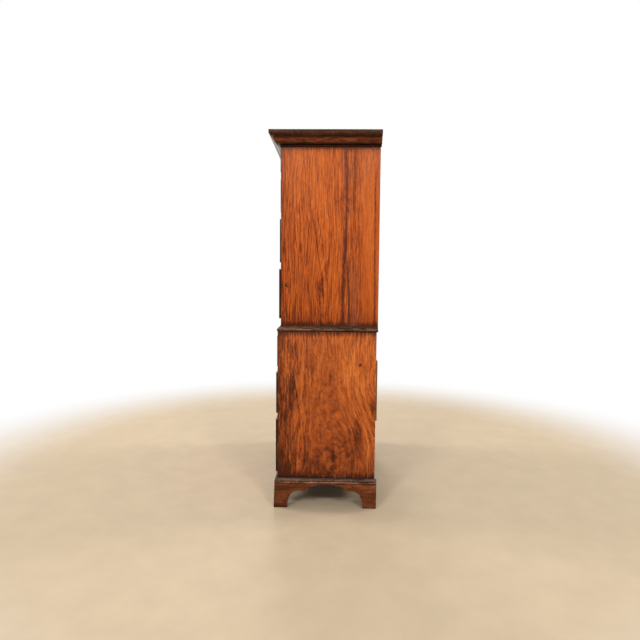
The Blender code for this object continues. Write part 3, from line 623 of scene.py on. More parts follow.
# The lower side: a cut through a fork of the tree, dark at the front, mottled in the middle, fanned behind
lowerFigure = {
    "wander": 0.030,
    "wanderNoise": (7.0, 3.0),
    "fan": {"height": (0.64, 0.26), "depth": (-0.07, 0.13), "amount": -0.105},
    "mottleNoise": (31.0, 4.0, 0.55, 1.0),
    "mottleWeight": 1.15,
    "mottleCalm": -0.75,
    "mottled": (
        (-0.040, 0.760, 0.050, 0.070, 0.75), (0.045, 0.715, 0.035, 0.070, 0.75),
        (0.010, 0.580, 0.075, 0.060, 0.85), (0.030, 0.440, 0.085, 0.110, 0.85),
        (0.030, 0.270, 0.110, 0.110, 0.90), (0.160, 0.250, 0.080, 0.070, 0.60),
    ),
    "bends": (
        (-0.050, 0.770, 0.024, 0.030, 0.020), (0.036, 0.735, 0.020, 0.040, -0.016),
        (0.028, 0.648, 0.010, 0.045, 0.014), (0.174, 0.7055, 0.008, 0.016, 0.010),
        (-0.128, 0.240, 0.018, 0.100, 0.016),
    ),
    "patches": (
        (-0.225, 0.55, 0.060, 0.50, -0.34), (-0.222, 0.28, 0.022, 0.08, 0.16),
        (-0.150, 0.56, 0.024, 0.08, -0.20), (-0.195, 0.17, 0.050, 0.06, -0.30),
        (-0.185, 0.44, 0.030, 0.12, -0.10), (-0.175, 0.72, 0.016, 0.05, 0.22),
        (-0.150, 0.47, 0.016, 0.06, 0.16), (0.160, 0.72, 0.110, 0.20, 0.20),
        (0.030, 0.36, 0.090, 0.12, -0.02), (0.164, 0.37, 0.026, 0.07, -0.20),
        (0.236, 0.50, 0.020, 0.04, -0.26), (0.225, 0.27, 0.040, 0.12, 0.17),
        (-0.060, 0.215, 0.050, 0.045, -0.16), (0.014, 0.226, 0.035, 0.030, 0.07),
        (0.090, 0.200, 0.030, 0.030, 0.06), (0.170, 0.215, 0.030, 0.025, 0.08),
        (0.048, 0.265, 0.010, 0.060, -0.20), (-0.125, 0.215, 0.012, 0.040, 0.20),
        (0.032, 0.640, 0.005, 0.026, -0.32), (0.008, 0.605, 0.010, 0.008, -0.18),
        (0.058, 0.592, 0.012, 0.010, -0.16), (0.174, 0.7055, 0.0055, 0.007, -0.80),
    ),
    # Painted shadow under the waist moulding at the top of the side, and darker toward its foot
    "fades": (
        (0.835, 0.868, -0.46), (0.420, 0.200, -0.16), (0.186, 0.146, -0.30),
    ),
    "lines": (
        grainLine(
            ((0.15, -0.124), (0.24, -0.124), (0.31, -0.121), (0.37, -0.112), (0.46, -0.110),
             (0.54, -0.119), (0.62, -0.131)),
            width=0.006, floor=0.16, top=0.64, tone=0.20,
        ),
        grainLine(
            ((0.15, -0.136), (0.31, -0.132), (0.40, -0.122), (0.48, -0.120), (0.56, -0.131),
             (0.62, -0.142)),
            width=0.006, floor=0.16, top=0.60, tone=-0.20,
        ),
        grainLine(
            ((0.15, 0.232), (0.24, 0.222), (0.31, 0.219), (0.36, 0.212), (0.40, 0.196), (0.45, 0.160),
             (0.52, 0.132), (0.62, 0.112)),
            width=0.008, floor=0.25, top=0.58, tone=0.22,
        ),
        grainLine(
            ((0.15, -0.170), (0.30, -0.168), (0.45, -0.160), (0.60, -0.146), (0.80, -0.140)),
            width=0.008, floor=0.18, top=0.72, tone=-0.20,
        ),
    ),
}

# Each wood and how it differs from the polished straight mahogany
upperSideLook = variant(
    polish,
    fineness=185.0,
    stretch=19.0,
    weights=(0.17, 0.52, 0.40),
    wear=0.10,
    rearColour=paint(92, 58, 36),
)
lowerSideLook = variant(
    polish,
    fineness=112.0,
    stretch=9.0,
    bend=0.020,
    weights=(0.18, 0.54, 0.40),
    wear=0.10,
    rearColour=paint(84, 52, 32),
    colours=shades(
        (0.02, 66, 29, 14), (0.26, 118, 54, 26), (0.50, 165, 80, 35), (0.74, 197, 101, 42),
        (1.0, 216, 127, 60),
    ),
)
frontLook = variant(
    polish,
    grain="X",
    fineness=72.0,
    stretch=8.0,
    bend=0.040,
    weights=(0.30, 0.46, 0.22),
    colours=shades(
        (0.02, 56, 20, 10), (0.26, 108, 42, 20), (0.50, 152, 64, 28), (0.74, 184, 86, 36),
        (1.0, 206, 112, 54),
    ),
    wear=0.15,
    rough=0.30,
    endColour=paint(38, 18, 11),
)
beadLook = variant(
    polish,
    grain="X",
    fineness=160.0,
    # The bead is coloured dark in part as painted shade on its sides
    colours=shades((0.1, 34, 15, 9), (0.5, 62, 26, 14), (0.9, 104, 50, 26)),
    wear=0.45,
    edgeRadius=0.001,
    wornColour=paint(128, 72, 42),
    endColour=paint(26, 12, 8),
)
mouldingLook = variant(
    polish,
    fineness=110.0,
    stretch=4.5,
    weights=(0.16, 0.60, 0.34),
    contrast=2.4,
    poreColour=paint(30, 14, 9),
    wear=0.18,
    wornColour=paint(140, 96, 68),
    dirt=0.80,
    rough=0.34,
    scuff=0.40,
    scuffScale=125.0,
    scuffDetail=(4.0, 0.65),
    scuffEdge=(0.52, 0.68),
    scuffColour=paint(122, 80, 56),
)
corniceLook = variant(
    mouldingLook,
    zoneSpan=heights("cornice_right"),
    # Bands by height on the cornice: the dark band under the cap and the dark bead are painted shadow,
    # between them the wood's colour as lit
    zones=shades(
        (0.0, 32, 14, 6), (0.08, 50, 23, 11), (0.15, 38, 14, 5), (0.20, 78, 34, 15), (0.28, 100, 49, 26),
        (0.42, 99, 46, 24), (0.52, 86, 38, 18), (0.60, 88, 40, 20), (0.625, 40, 16, 6),
        (0.66, 50, 25, 14), (0.75, 62, 34, 21), (0.79, 72, 39, 24), (0.845, 64, 32, 19),
        (0.868, 36, 17, 10), (0.89, 14, 6, 4), (1.0, 15, 8, 4),
    ),
    dust=0.85,
    dustColour=paint(84, 57, 42),
)
waistLook = variant(
    mouldingLook,
    zoneSpan=heights("waist_moulding_right"),
    # Bands by height on the waist moulding: painted highlight on the middle of its slope, painted shade at
    # its top and under its nose
    zones=shades(
        (0.0, 56, 31, 19), (0.12, 72, 43, 29), (0.24, 94, 63, 46), (0.34, 110, 80, 62),
        (0.50, 98, 70, 53), (0.68, 78, 52, 38), (0.84, 48, 27, 17), (1.0, 34, 17, 9),
    ),
    wornColour=paint(160, 128, 102),
    dust=0.10,
)
baseLook = variant(
    mouldingLook,
    zoneSpan=heights("base_moulding_right"),
    # Bands by height on the base moulding: a pale line that is partly wear and partly painted highlight,
    # painted shade in the dark line above it and at the joint with the case, and a greyish top that partly
    # paints its sheen
    zones=shades(
        (0.0, 101, 50, 27), (0.31, 106, 54, 30), (0.35, 180, 130, 102), (0.40, 180, 130, 102),
        (0.44, 46, 26, 16), (0.54, 50, 31, 22), (0.62, 74, 52, 41), (0.72, 82, 61, 51),
        (0.90, 78, 58, 49), (1.0, 44, 29, 23),
    ),
    wear=0.30,
    wornColour=paint(190, 146, 118),
    scuff=0.50,
    # The bluish grey scuffs and dust are partly dust and rubbing and partly painted reflection and highlights
    # on the top
    scuffScale=85.0,
    scuffColour=paint(124, 106, 98),
    dust=0.22,
    dustColour=paint(108, 104, 110),
)
footLook = variant(
    mouldingLook,
    colours=shades(
        (0.02, 40, 17, 10), (0.34, 70, 33, 17), (0.61, 100, 51, 27), (0.84, 124, 65, 37),
        (1.0, 146, 82, 52),
    ),
    fineness=70.0,
    stretch=5.0,
    bend=0.05,
    weights=(0.34, 0.36, 0.24),
    wear=0.40,
    wornColour=paint(160, 104, 74),
    dirtReach=0.03,
    scuff=0.65,
    scuffScale=30.0,
    scuffColour=paint(54, 25, 15),
)
railLook = variant(frontLook, fineness=90.0, stretch=16.0, bend=0.010)
oakLook = variant(
    polish,
    fineness=150.0,
    stretch=24.0,
    weights=(0.25, 0.46, 0.24),
    colours=shades(
        (0.02, 104, 69, 39), (0.35, 154, 108, 65), (0.60, 183, 137, 88), (1.0, 206, 163, 112),
    ),
    pores=0.5,
    poreColour=paint(88, 62, 40),
    dirtColour=paint(60, 44, 32),
    wear=0.3,
    wornColour=paint(206, 180, 142),
    dust=0.15,
    rough=0.62,
    relief=0.5,
)
pineLook = variant(
    oakLook,
    fineness=72.0,
    stretch=22.0,
    bend=0.020,
    weights=(0.22, 0.32, 0.22),
    boardAxis="Z",
    boardStart=0.655,
    boardWidth=0.214,
    boardSpread=0.34,
    boardShift=9.0,
    jointEdge=(0.0018, 0.0009),
    jointRelief=-4.0,
    jointColour=paint(24, 17, 12),
    colours=shades(
        (0.02, 66, 46, 30), (0.35, 104, 76, 50), (0.60, 136, 102, 68), (1.0, 164, 130, 92),
    ),
    pores=0.25,
    poreColour=paint(58, 40, 28),
    dust=0.55,
    dustColour=paint(148, 138, 122),
    rough=0.74,
)


# Shaping helpers: one piece at a time is chosen
def clearChoice():
    if bpy.context.object and bpy.context.object.mode != "OBJECT":
        bpy.ops.object.mode_set(mode="OBJECT")
    bpy.ops.object.select_all(action="DESELECT")


def choose(piece):
    clearChoice()
    piece.select_set(True)
    bpy.context.view_layer.objects.active = piece


def addShape(name, kind, location=(0, 0, 0), **settings):
    clearChoice()
    getattr(bpy.ops.mesh, "primitive_" + kind + "_add")(location=location, **settings)
    piece = bpy.context.object
    piece.name = name
    return piece


# Gives a piece its place, turn or size, and puts them into its mesh
def settle(piece, **changes):
    for key, value in changes.items():
        setattr(piece, key, value)
    choose(piece)
    bpy.ops.object.transform_apply(location=True, rotation=True, scale=True)
    return piece


# Turns a piece modelled along +Z so that it points to -Y, or to +Y
def faceAlong(piece, toFront, place=(0, 0, 0)):
    turn = quarterTurn if toFront else -quarterTurn
    return settle(piece, rotation_euler=(turn, 0, 0), location=place)


def pickEdges(piece, test):
    bpy.ops.mesh.select_mode(type="EDGE")
    bpy.ops.mesh.select_all(action="DESELECT")
    shape = bmesh.from_edit_mesh(piece.data)
    for edge in shape.edges:
        if test(edge.verts[0].co, edge.verts[1].co):
            edge.select_set(True)
    shape.select_flush_mode()
    bmesh.update_edit_mesh(piece.data)


def chooseAll():
    bpy.ops.mesh.select_all(action="SELECT")


def startEdit():
    bpy.ops.object.mode_set(mode="EDIT")
    chooseAll()


def drawOut(move):
    bpy.ops.mesh.extrude_region_move(TRANSFORM_OT_translate={"value": move})


def weldMesh():
    startEdit()
    bpy.ops.mesh.remove_doubles(threshold=weldGap)


def closeMesh():
    chooseAll()
    bpy.ops.mesh.normals_make_consistent(inside=False)
    bpy.ops.object.mode_set(mode="OBJECT")


def applyModifier(piece, kind, **settings):
    choose(piece)
    change = piece.modifiers.new(kind.lower(), kind)
    for key, value in settings.items():
        setattr(change, key, value)
    bpy.ops.object.modifier_apply(modifier=change.name)


def soften(piece, width, angle=30):
    limit = math.radians(angle)
    applyModifier(piece, "BEVEL", width=width, segments=2, limit_method="ANGLE", angle_limit=limit)


def cutWith(piece, cutter, operation="DIFFERENCE"):
    applyModifier(piece, "BOOLEAN", operation=operation, solver="EXACT", object=cutter)
    discard(cutter)


def joinAll(pieces, name):
    choose(pieces[0])
    for piece in pieces[1:]:
        piece.select_set(True)
    bpy.ops.object.join()
    pieces[0].name = name
    return pieces[0]


def addCopy(source, name):
    twin = bpy.data.objects.new(name, source.data.copy())
    bpy.context.scene.collection.objects.link(twin)
    return twin


def copyTo(master, name, place):
    twin = addCopy(master, name)
    twin.data.transform(Matrix.Translation(place))
    return twin


def discard(piece):
    mesh = piece.data
    bpy.data.objects.remove(piece, do_unlink=True)
    bpy.data.meshes.remove(mesh)


def finish(piece, material):
    piece.data.materials.clear()
    piece.data.materials.append(material)


# Finishes a piece and says what carries it and what it stands for; smooth is the angle in degrees
def dress(piece, material, body, smooth=35, standsFor=()):
    choose(piece)
    if smooth:
        bpy.ops.object.shade_smooth_by_angle(angle=math.radians(smooth))
    finish(piece, material)
    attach(piece, body)
    if standsFor:
        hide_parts(*standsFor)


# A disc drawn out through (radius, height) steps, as on a lathe
def turnPiece(name, steps, sides, toFront=False, place=(0, 0, 0)):
    piece = addShape(name, "circle", vertices=sides, radius=steps[0][0], fill_type="NGON")
    bpy.ops.object.mode_set(mode="EDIT")
    for (radius, height), (nextRadius, nextHeight) in zip(steps, steps[1:]):
        drawOut((0, 0, nextHeight - height))
        ratio = nextRadius / radius
        bpy.ops.transform.resize(value=(ratio, ratio, 1), center_override=(0, 0, nextHeight))
    closeMesh()
    return faceAlong(piece, toFront, place)


# A ring of points carried along a run in a few lengths, then cut to its mitres, each a point on the cut and
# the way to what is cut off
def runPiece(name, ring, run, lengths, mitres):
    piece = addShape(name, "circle", vertices=len(ring), fill_type="NGON")
    for vertex, point in zip(piece.data.vertices, ring):
        vertex.co = point
    bpy.ops.object.mode_set(mode="EDIT")
    for _ in range(lengths):
        drawOut(tuple(Vector(run) / lengths))
    for point, outward in mitres:
        chooseAll()
        bpy.ops.mesh.bisect(plane_co=point, plane_no=outward, use_fill=True, clear_outer=True)
    closeMesh()
    return piece


# Curves of a moulding's profile, as (projection, height) points
def between(start, end, shares):
    return [
        (start[0] + (end[0] - start[0]) * across, start[1] + (end[1] - start[1]) * upward)
        for across, upward in shares
    ]


def quarterCurve(start, end, steps):
    angles = [quarterTurn * step / steps for step in range(steps + 1)]
    return between(start, end, [(1 - math.cos(angle), math.sin(angle)) for angle in angles])


def ogeeCurve(start, end, steps):
    shares = [step / steps for step in range(steps + 1)]
    return between(start, end, [(share, (1 - math.cos(math.pi * share)) / 2) for share in shares])


def halfRound(out, low, radius, steps):
    angles = [math.pi * step / steps for step in range(steps + 1)]
    return [(out + radius * math.sin(angle), low + radius - radius * math.cos(angle)) for angle in angles]


# One moulding round the front and both sides of a case, as three mitred pieces
def addMoulding(name, profile, caseSide, look, materials):
    half, front = caseSide[1].x, caseSide[0].y
    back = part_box(name + "_right")[1].y
    share = look["frontShare"]
    reach = max(out for out, height in profile) + touchGap
    ring = [(-half - reach, front - out * share, height) for out, height in profile]
    mitres = [((half - touchGap, front, 0), (share, 1, 0)), ((touchGap - half, front, 0), (-share, 1, 0))]
    piece = runPiece(name + "_front_run", ring, (2 * (half + reach), 0, 0), look["lengths"] * 2, mitres)
    finishMoulding(piece, look, materials["front"], name + "_front")
    for hand, side in hands:
        ring = [((half + out) * side, front - reach, height) for out, height in profile]
        mitres = [((half * side, front + touchGap, 0), (-side * share, -1, 0))]
        run = (0, back - front + reach, 0)
        piece = runPiece(name + "_" + hand + "_run", ring, run, look["lengths"], mitres)
        finishMoulding(piece, look, materials["side"], name + "_" + hand)


# Old mouldings aren't quite straight: away from the mitres they sag a little, in two waves of unlike length
secondWave = {"share": 0.5, "waves": 2.7, "phase": 1.0}


def finishMoulding(piece, look, material, node):
    low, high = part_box(node)
    front = node.endswith("front")
    for vertex in piece.data.vertices:
        run = vertex.co.x if front else vertex.co.y
        fromMitre = min(run - low.x, high.x - run) if front else run - low.y
        loose = max(0, min(1, fromMitre / look["held"])) * (look["frontSway"] if front else 1.0)
        second = math.sin(run * look["waves"] * secondWave["waves"] + secondWave["phase"])
        sway = math.sin(run * look["waves"] + look["phase"]) + secondWave["share"] * second
        vertex.co.z = min(vertex.co.z + (sway * look["sway"] - look["sag"]) * loose, high.z)
    soften(piece, look["edge"])
    dress(piece, material, "carcase", standsFor=(node,))


mouldingShape = {"frontShare": 1.0, "steps": 8, "frontSway": 1.0, "sag": 0.0, "held": 0.06}
corniceShape = variant(
    mouldingShape,
    capHeight=0.026,
    capFillet=0.0155,
    capFootOut=0.0445,
    capFootFillet=0.0022,
    bedOut=0.033,
    bedFootOut=0.0135,
    beadRadius=0.0052,
    beadFillet=0.001,
    steps=10,
    edge=0.0006,
    lengths=6,
    sway=0.0003,
    waves=9.0,
    phase=0.4,
)


def corniceProfile(shape):
    low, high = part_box("cornice_right")
    overhang = high.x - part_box("upper_side_right")[1].x
    capFloor = high.z - shape["capHeight"]
    bedFoot = (shape["bedFootOut"], low.z + 2 * shape["beadRadius"])
    profile = [(touchGap, low.z)]
    profile += halfRound(shape["beadFillet"], low.z, shape["beadRadius"], shape["steps"])
    profile += list(reversed(quarterCurve((shape["bedOut"], capFloor), bedFoot, shape["steps"])))
    profile += [(shape["capFootOut"], capFloor)]
    capFoot = (shape["capFootOut"], capFloor + shape["capFootFillet"])
    profile += ogeeCurve(capFoot, (overhang, high.z - shape["capFillet"]), shape["steps"])
    return profile + [(overhang, high.z), (touchGap, high.z)]


waistShape = variant(
    mouldingShape,
    tipHeight=0.0080,
    noseHeight=0.005,
    topOut=0.0012,
    footOut=0.0150,
    edge=0.0008,
    lengths=14,
    sway=0.0009,
    frontSway=0.35,
    sag=0.0014,
    held=0.10,
    waves=17.0,
    phase=0.9,
)


def waistProfile(shape):
    low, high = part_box("waist_moulding_right")
    out = high.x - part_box("upper_side_right")[1].x
    tip = low.z + shape["tipHeight"]
    profile = [(touchGap, low.z), (shape["footOut"], low.z), (out, tip - shape["noseHeight"])]
    hollow = ogeeCurve((tip, out), (high.z, shape["topOut"]), shape["steps"])
    profile += [(reach, height) for height, reach in hollow]
    return profile + [(touchGap, high.z)]


baseShape = variant(
    mouldingShape,
    fasciaHeight=0.0115,
    topOut=0.004,
    frontShare=0.78,
    edge=0.0010,
    lengths=8,
    sway=0.0002,
    waves=13.0,
    phase=2.0,
)


def baseProfile(shape):
    low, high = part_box("base_moulding_right")
    out = high.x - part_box("lower_side_right")[1].x
    fascia = low.z + shape["fasciaHeight"]
    profile = [(touchGap, low.z), (out, low.z)]
    profile += quarterCurve((out, fascia), (shape["topOut"], high.z), shape["steps"])
    return profile + [(touchGap, high.z)]


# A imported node's own shape as a new piece, welded and in edit mode
def copyNode(node, name):
    piece = addCopy(nodes[node], name)
    choose(piece)
    bpy.ops.mesh.customdata_custom_splitnormals_clear()
    weldMesh()
    return piece


# Corners: how wide they are eased, which faces count as one plane and which edges as corners, in degrees
easing = {"side": 0.0012, "foot": 0.0014, "footLean": 0.0038, "flatAngle": 0.4, "cornerAngle": 25}


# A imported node's own shape with its corners eased, which stands for the node
def easeNode(node, material, width):
    piece = copyNode(node, node + "_eased")
    bpy.ops.mesh.dissolve_limited(angle_limit=math.radians(easing["flatAngle"]))
    bpy.ops.object.mode_set(mode="OBJECT")
    soften(piece, width, easing["cornerAngle"])
    dress(piece, material, "carcase", 30, (node,))
    return piece


# Drawer fronts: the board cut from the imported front, with its bead laid round it as four mitred strips
frontShape = {
    "thickness": 0.022,
    "cutOver": 0.01,
    "beadWidth": 0.003,
    "beadDepth": 0.003,
    "beadRound": 0.46,
    "beadSteps": 4,
    "straight": 0.99,
}


def addDrawerFront(name, low, high, face, shape):
    board = copyNode(name + "_drawer_front", name + "_front_board")
    bpy.ops.object.mode_set(mode="OBJECT")
    back = face + shape["thickness"]
    wide, tall = high.x - low.x, high.z - low.z
    middleX, middleZ = (low.x + high.x) / 2, (low.z + high.z) / 2
    slab = addShape("slab", "cube", (middleX, (face + back) / 2, middleZ), size=1)
    settle(slab, scale=(wide + shape["cutOver"], back - face, tall + shape["cutOver"]))
    cutWith(board, slab, "INTERSECT")
    choose(board)
    bpy.ops.object.shade_flat()
    dress(board, frontWood, name + "_drawer", 0, (name + "_drawer_front",))

    bead = addShape(name + "_cock_bead", "plane", (middleX, face, middleZ), size=1)
    settle(bead, rotation_euler=(quarterTurn, 0, 0), scale=(wide, tall, 1))
    startEdit()
    bpy.ops.mesh.inset(thickness=shape["beadWidth"], depth=0)
    bpy.ops.mesh.delete(type="FACE")
    chooseAll()
    drawOut((0, -shape["beadDepth"], 0))
    chooseAll()
    bpy.ops.mesh.normals_make_consistent(inside=False)
    outer = face - shape["beadDepth"]

    def alongFront(first, second):
        run = (first - second).normalized()
        onFront = abs((first.y + second.y) / 2 - outer) < touchGap
        return onFront and max(abs(run.x), abs(run.z)) > shape["straight"]

    pickEdges(bead, alongFront)
    rounding = shape["beadWidth"] * shape["beadRound"]
    bpy.ops.mesh.bevel(offset=rounding, segments=shape["beadSteps"], affect="EDGES")
    bpy.ops.object.mode_set(mode="OBJECT")
    dress(bead, beadWood, name + "_drawer", 40)


# Brass: a post turned over its rosette, the nut behind the front, the keyhole plate and the lock
fittings = {
    "halfSpan": 0.040,
    "reach": 0.012,
    "rosette": (
        (0.0114, 0.0), (0.0115, 0.0007), (0.0109, 0.0014), (0.0101, 0.0012), (0.0093, 0.0013),
        (0.0084, 0.0021), (0.0072, 0.0026), (0.0061, 0.0024), (0.0050, 0.0025), (0.0040, 0.0031),
        (0.0029, 0.0036),
    ),
    "post": (
        (0.0029, 0.0036), (0.0024, 0.0045), (0.0023, 0.0062), (0.0029, 0.0072), (0.0042, 0.0086),
        (0.0049, 0.0103), (0.0050, 0.0120), (0.0047, 0.0138), (0.0038, 0.0153), (0.0026, 0.0162),
        (0.0018, 0.0166), (0.0016, 0.0172), (0.0008, 0.0177),
    ),
    "nut": (
        (0.0062, 0.0), (0.0062, 0.0022), (0.0055, 0.0029), (0.0024, 0.0029), (0.0022, 0.0031),
        (0.0021, 0.0050), (0.0012, 0.0053),
    ),
    "screw": ((0.0034, 0.0), (0.0034, 0.0005), (0.0024, 0.0011), (0.0008, 0.0013)),
    "pin": ((0.0011, 0.0), (0.0010, 0.0004), (0.0006, 0.0007), (0.0002, 0.0008)),
    "postSides": 24,
    "nutSides": 12,
    "pinSides": 10,
    "pinHole": 0.0021,
    "drillSides": 16,
    "eyeSides": 20,
    "cutLength": 0.02,
    "plateSides": 48,
    "plateHalfWidth": 0.012,
    "plateHalfHeight": 0.018,
    "plateThickness": 0.0012,
    "plateRim": 0.0014,
    "plateDish": 0.0004,
    "plateEdge": 0.0003,
    "pinInset": 0.0038,
    "keyholeDrop": 0.022,
    "keyholeRadius": 0.0032,
    "keyholeSlot": 0.0030,
    "keyholeLength": 0.0120,
    "keyholeDepth": 0.01,
    "lockWidth": 0.058,
    "lockHeight": 0.044,
    "lockThickness": 0.002,
    "lockDrop": 0.004,
    "lockEdge": 0.0005,
    "rivets": ((-0.024, -0.006), (0.024, -0.006), (-0.024, -0.038), (0.024, -0.038), (0, -0.022)),
}


def makePost(look):
    post = turnPiece("post", look["rosette"] + look["post"][1:], look["postSides"], True)
    drill = addShape("drill", "cylinder", (0, -look["reach"], 0), vertices=look["drillSides"],
                     radius=look["pinHole"], depth=look["cutLength"], rotation=(0, quarterTurn, 0))
    cutWith(post, settle(drill))
    nut = turnPiece("nut", look["nut"], look["nutSides"], place=(0, frontShape["thickness"], 0))
    return joinAll([post, nut], "post")


def makePlate(look):
    plate = addShape("plate", "circle", vertices=look["plateSides"], radius=1, fill_type="NGON")
    settle(plate, scale=(look["plateHalfWidth"], look["plateHalfHeight"], 1))
    startEdit()
    drawOut((0, 0, look["plateThickness"]))
    bpy.ops.mesh.inset(thickness=look["plateRim"], depth=-look["plateDish"])
    closeMesh()
    soften(plate, look["plateEdge"])
    faceAlong(plate, True)
    eye = addShape("roundCut", "cylinder", (0, 0, look["keyholeLength"] / 2), vertices=look["eyeSides"],
                   radius=look["keyholeRadius"], depth=look["keyholeDepth"], rotation=(quarterTurn, 0, 0))
    cutWith(plate, settle(eye))
    slit = addShape("slotCut", "cube", size=1)
    settle(slit, scale=(look["keyholeSlot"], look["keyholeDepth"], look["keyholeLength"]))
    cutWith(plate, slit)
    pieces = [plate]
    surface = look["plateDish"] - look["plateThickness"]
    away = look["plateHalfHeight"] - look["pinInset"]
    for z in (-away, away):
        pieces.append(turnPiece("pin", look["pin"], look["pinSides"], True, (0, surface, z)))
    return joinAll(pieces, "plate")


def makeLock(look):
    lock = addShape("lock", "cube", (0, look["lockThickness"] / 2, -look["lockHeight"] / 2), size=1)
    settle(lock, scale=(look["lockWidth"], look["lockThickness"], look["lockHeight"]))
    soften(lock, look["lockEdge"])
    pieces = [lock]
    for x, z in look["rivets"]:
        place = (x, look["lockThickness"], z)
        pieces.append(turnPiece("rivet", look["screw"], look["nutSides"], place=place))
    return joinAll(pieces, "lock")


# The swan-neck bail, as a curve from the pin in one post to the pin in the other
bailShape = {
    "halfWidth": 0.0535,
    "drop": 0.038,
    "pinFrom": 0.0365,
    "pinTo": 0.0452,
    "pinRadius": 0.0018,
    "neckRadius": 0.0021,
    "gripRadius": 0.0029,
    "widthShares": (0.955, 1.01, 1.01, 0.92, 0.80, 0.70, 0.62, 0.40, 0.16, 0.0),
    "dropShares": (0.03, 0.16, 0.42, 0.64, 0.80, 0.885, 0.93, 0.99, 1.0, 1.0),
    "radiusShares": (0.1, 0.35, 0.2, 0.05, 0.1, 0.5, 0.25, 0.7, 0.95, 1.0),
}


def makeBail(look):
    half = [(look["pinFrom"], 0, look["pinRadius"]), (look["pinTo"], 0, look["pinRadius"])]
    for wide, drop, swell in zip(look["widthShares"], look["dropShares"], look["radiusShares"]):
        radius = look["neckRadius"] + (look["gripRadius"] - look["neckRadius"]) * swell
        half.append((look["halfWidth"] * wide, -look["drop"] * drop, radius))
    line = half + [(-x, z, radius) for x, z, radius in reversed(half[:-1])]
    clearChoice()
    bpy.ops.curve.primitive_nurbs_path_add(location=(0, 0, 0))
    curve = bpy.context.object.data
    curve.splines.clear()
    spline = curve.splines.new("NURBS")
    spline.points.add(len(line) - 1)
    for point, (x, z, radius) in zip(spline.points, line):
        point.co = (x, 0, z, 1)
        point.radius = radius
    spline.order_u = 3
    spline.use_endpoint_u = True
    spline.resolution_u = 4
    curve.bevel_depth = 1
    curve.bevel_resolution = 3
    curve.use_fill_caps = True
    bpy.ops.object.convert(target="MESH")
    bail = bpy.context.object
    bail.name = "bail"
    weldMesh()
    closeMesh()
    return bail


# Nails in the back boards: iron heads, round and a little crooked
nailShape = {
    "head": ((0.0032, 0.0), (0.0030, 0.0006), (0.0016, 0.0010)),
    "sides": 7,
    "spacing": 0.085,
    "rowSpread": 1.6,
    "edge": 0.014,
    "jitter": 0.004,
}


def addNails(node, look, material):
    low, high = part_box(node)
    master = turnPiece("nail", look["head"], look["sides"])
    edge = look["edge"]
    left, right, floor, top = low.x + edge, high.x - edge, low.z + edge, high.z - edge
    across = round((right - left) / look["spacing"] / look["rowSpread"])
    upward = round((top - floor) / look["spacing"])
    heads = []

    def jitter():
        return random.uniform(-1, 1) * look["jitter"]

    for count, start, end in (
        (across, (left, floor), (right, floor)),
        (across, (left, top), (right, top)),
        (upward, (left, floor), (left, top)),
        (upward, (right, floor), (right, top)),
    ):
        for x, z in between(start, end, [(index / count, index / count) for index in range(count + 1)]):
            heads.append(copyTo(master, "nail", (x + jitter(), high.y, z + jitter())))
    discard(master)
    dress(joinAll(heads, node + "_nails"), material, "carcase", 40)


print("materials")
brassLook = {
    "colour": paint(196, 150, 82),
    "dull": paint(120, 84, 44),
    "hollow": paint(46, 32, 22),
    "rubbed": paint(232, 196, 128),
    "tarnish": (210.0, 5.0, 0.62),
    "tarnishEdge": (0.40, 0.66),
    "broad": (42.0, 2.0),
    "broadEdge": (0.30, 0.62, 0.35, 1.0),
    "patchiness": 160.0,
    "wear": 0.7,
    "rough": 0.30,
    "roughSpread": 0.26,
    "dirtRough": 0.25,
    "dirtReach": 0.006,
    "edgeRadius": 0.0008,
    "relief": 0.18,
    "reliefDepth": 0.0003,
}
ironLook = variant(
    brassLook,
    colour=paint(62, 56, 52),
    dull=paint(86, 60, 44),
    hollow=paint(26, 20, 18),
    rubbed=paint(112, 104, 98),
    rough=0.50,
    roughSpread=0.25,
    dirtReach=0.004,
    edgeRadius=0.0006,
)


def metalMaterial(name, look):
    made, tree, shader, place = newMaterial(name)
    tarnish = noise(tree, place, *look["tarnish"])
    broad = ease(tree, noise(tree, place, *look["broad"]), *look["broadEdge"])
    grime = useGroup(tree, grimeAndShadeGroup, {"Place": place, "Reach": look["dirtReach"]})
    edges = {"Place": place, "Radius": look["edgeRadius"], "Patchiness": look["patchiness"]}
    wear = useGroup(tree, wearGroup, edges)
    dulled = times(tree, ease(tree, tarnish, *look["tarnishEdge"]), broad)
    colour = blendColours(tree, dulled, look["colour"], look["dull"])
    colour = blendColours(tree, times(tree, wear["Worn"], look["wear"]), colour, look["rubbed"])
    feed(tree, shader.inputs["Base Color"], blendColours(tree, grime["Dirt"], colour, look["hollow"]))
    rough = times(tree, dulled, look["roughSpread"], look["rough"])
    feed(tree, shader.inputs["Roughness"], times(tree, grime["Dirt"], look["dirtRough"], rough))
    shader.inputs["Metallic"].default_value = 1.0
    addRelief(tree, shader, tarnish, look, wear)
    return made


# Rails and boards: oak with a slip of mahogany on the front edge
slipDepth = 0.006


def facedMaterial(name, look, facing, front):
    made = woodMaterial(name, look)
    tree = made.node_tree
    shader = tree.nodes["Principled BSDF"]
    oakColour, oakRough = (shader.inputs[key].links[0].from_socket for key in ("Base Color", "Roughness"))
    parts = splitAxes(tree, put(tree, "TexCoord").outputs["Object"])
    tone = layGrain(tree, joinAxes(tree, parts["Y"], parts["Z"], parts["X"]), facing)[1]
    behind = ease(tree, parts["Y"], front + slipDepth, front + slipDepth + touchGap)
    colour = blendColours(tree, behind, ramp(tree, tone, facing["colours"]), oakColour)
    feed(tree, shader.inputs["Base Color"], colour)
    polished = sums(tree, "SUBTRACT", 1.0, behind)
    rough = times(tree, polished, facing["rough"], times(tree, oakRough, behind))
    feed(tree, shader.inputs["Roughness"], rough)
    return made


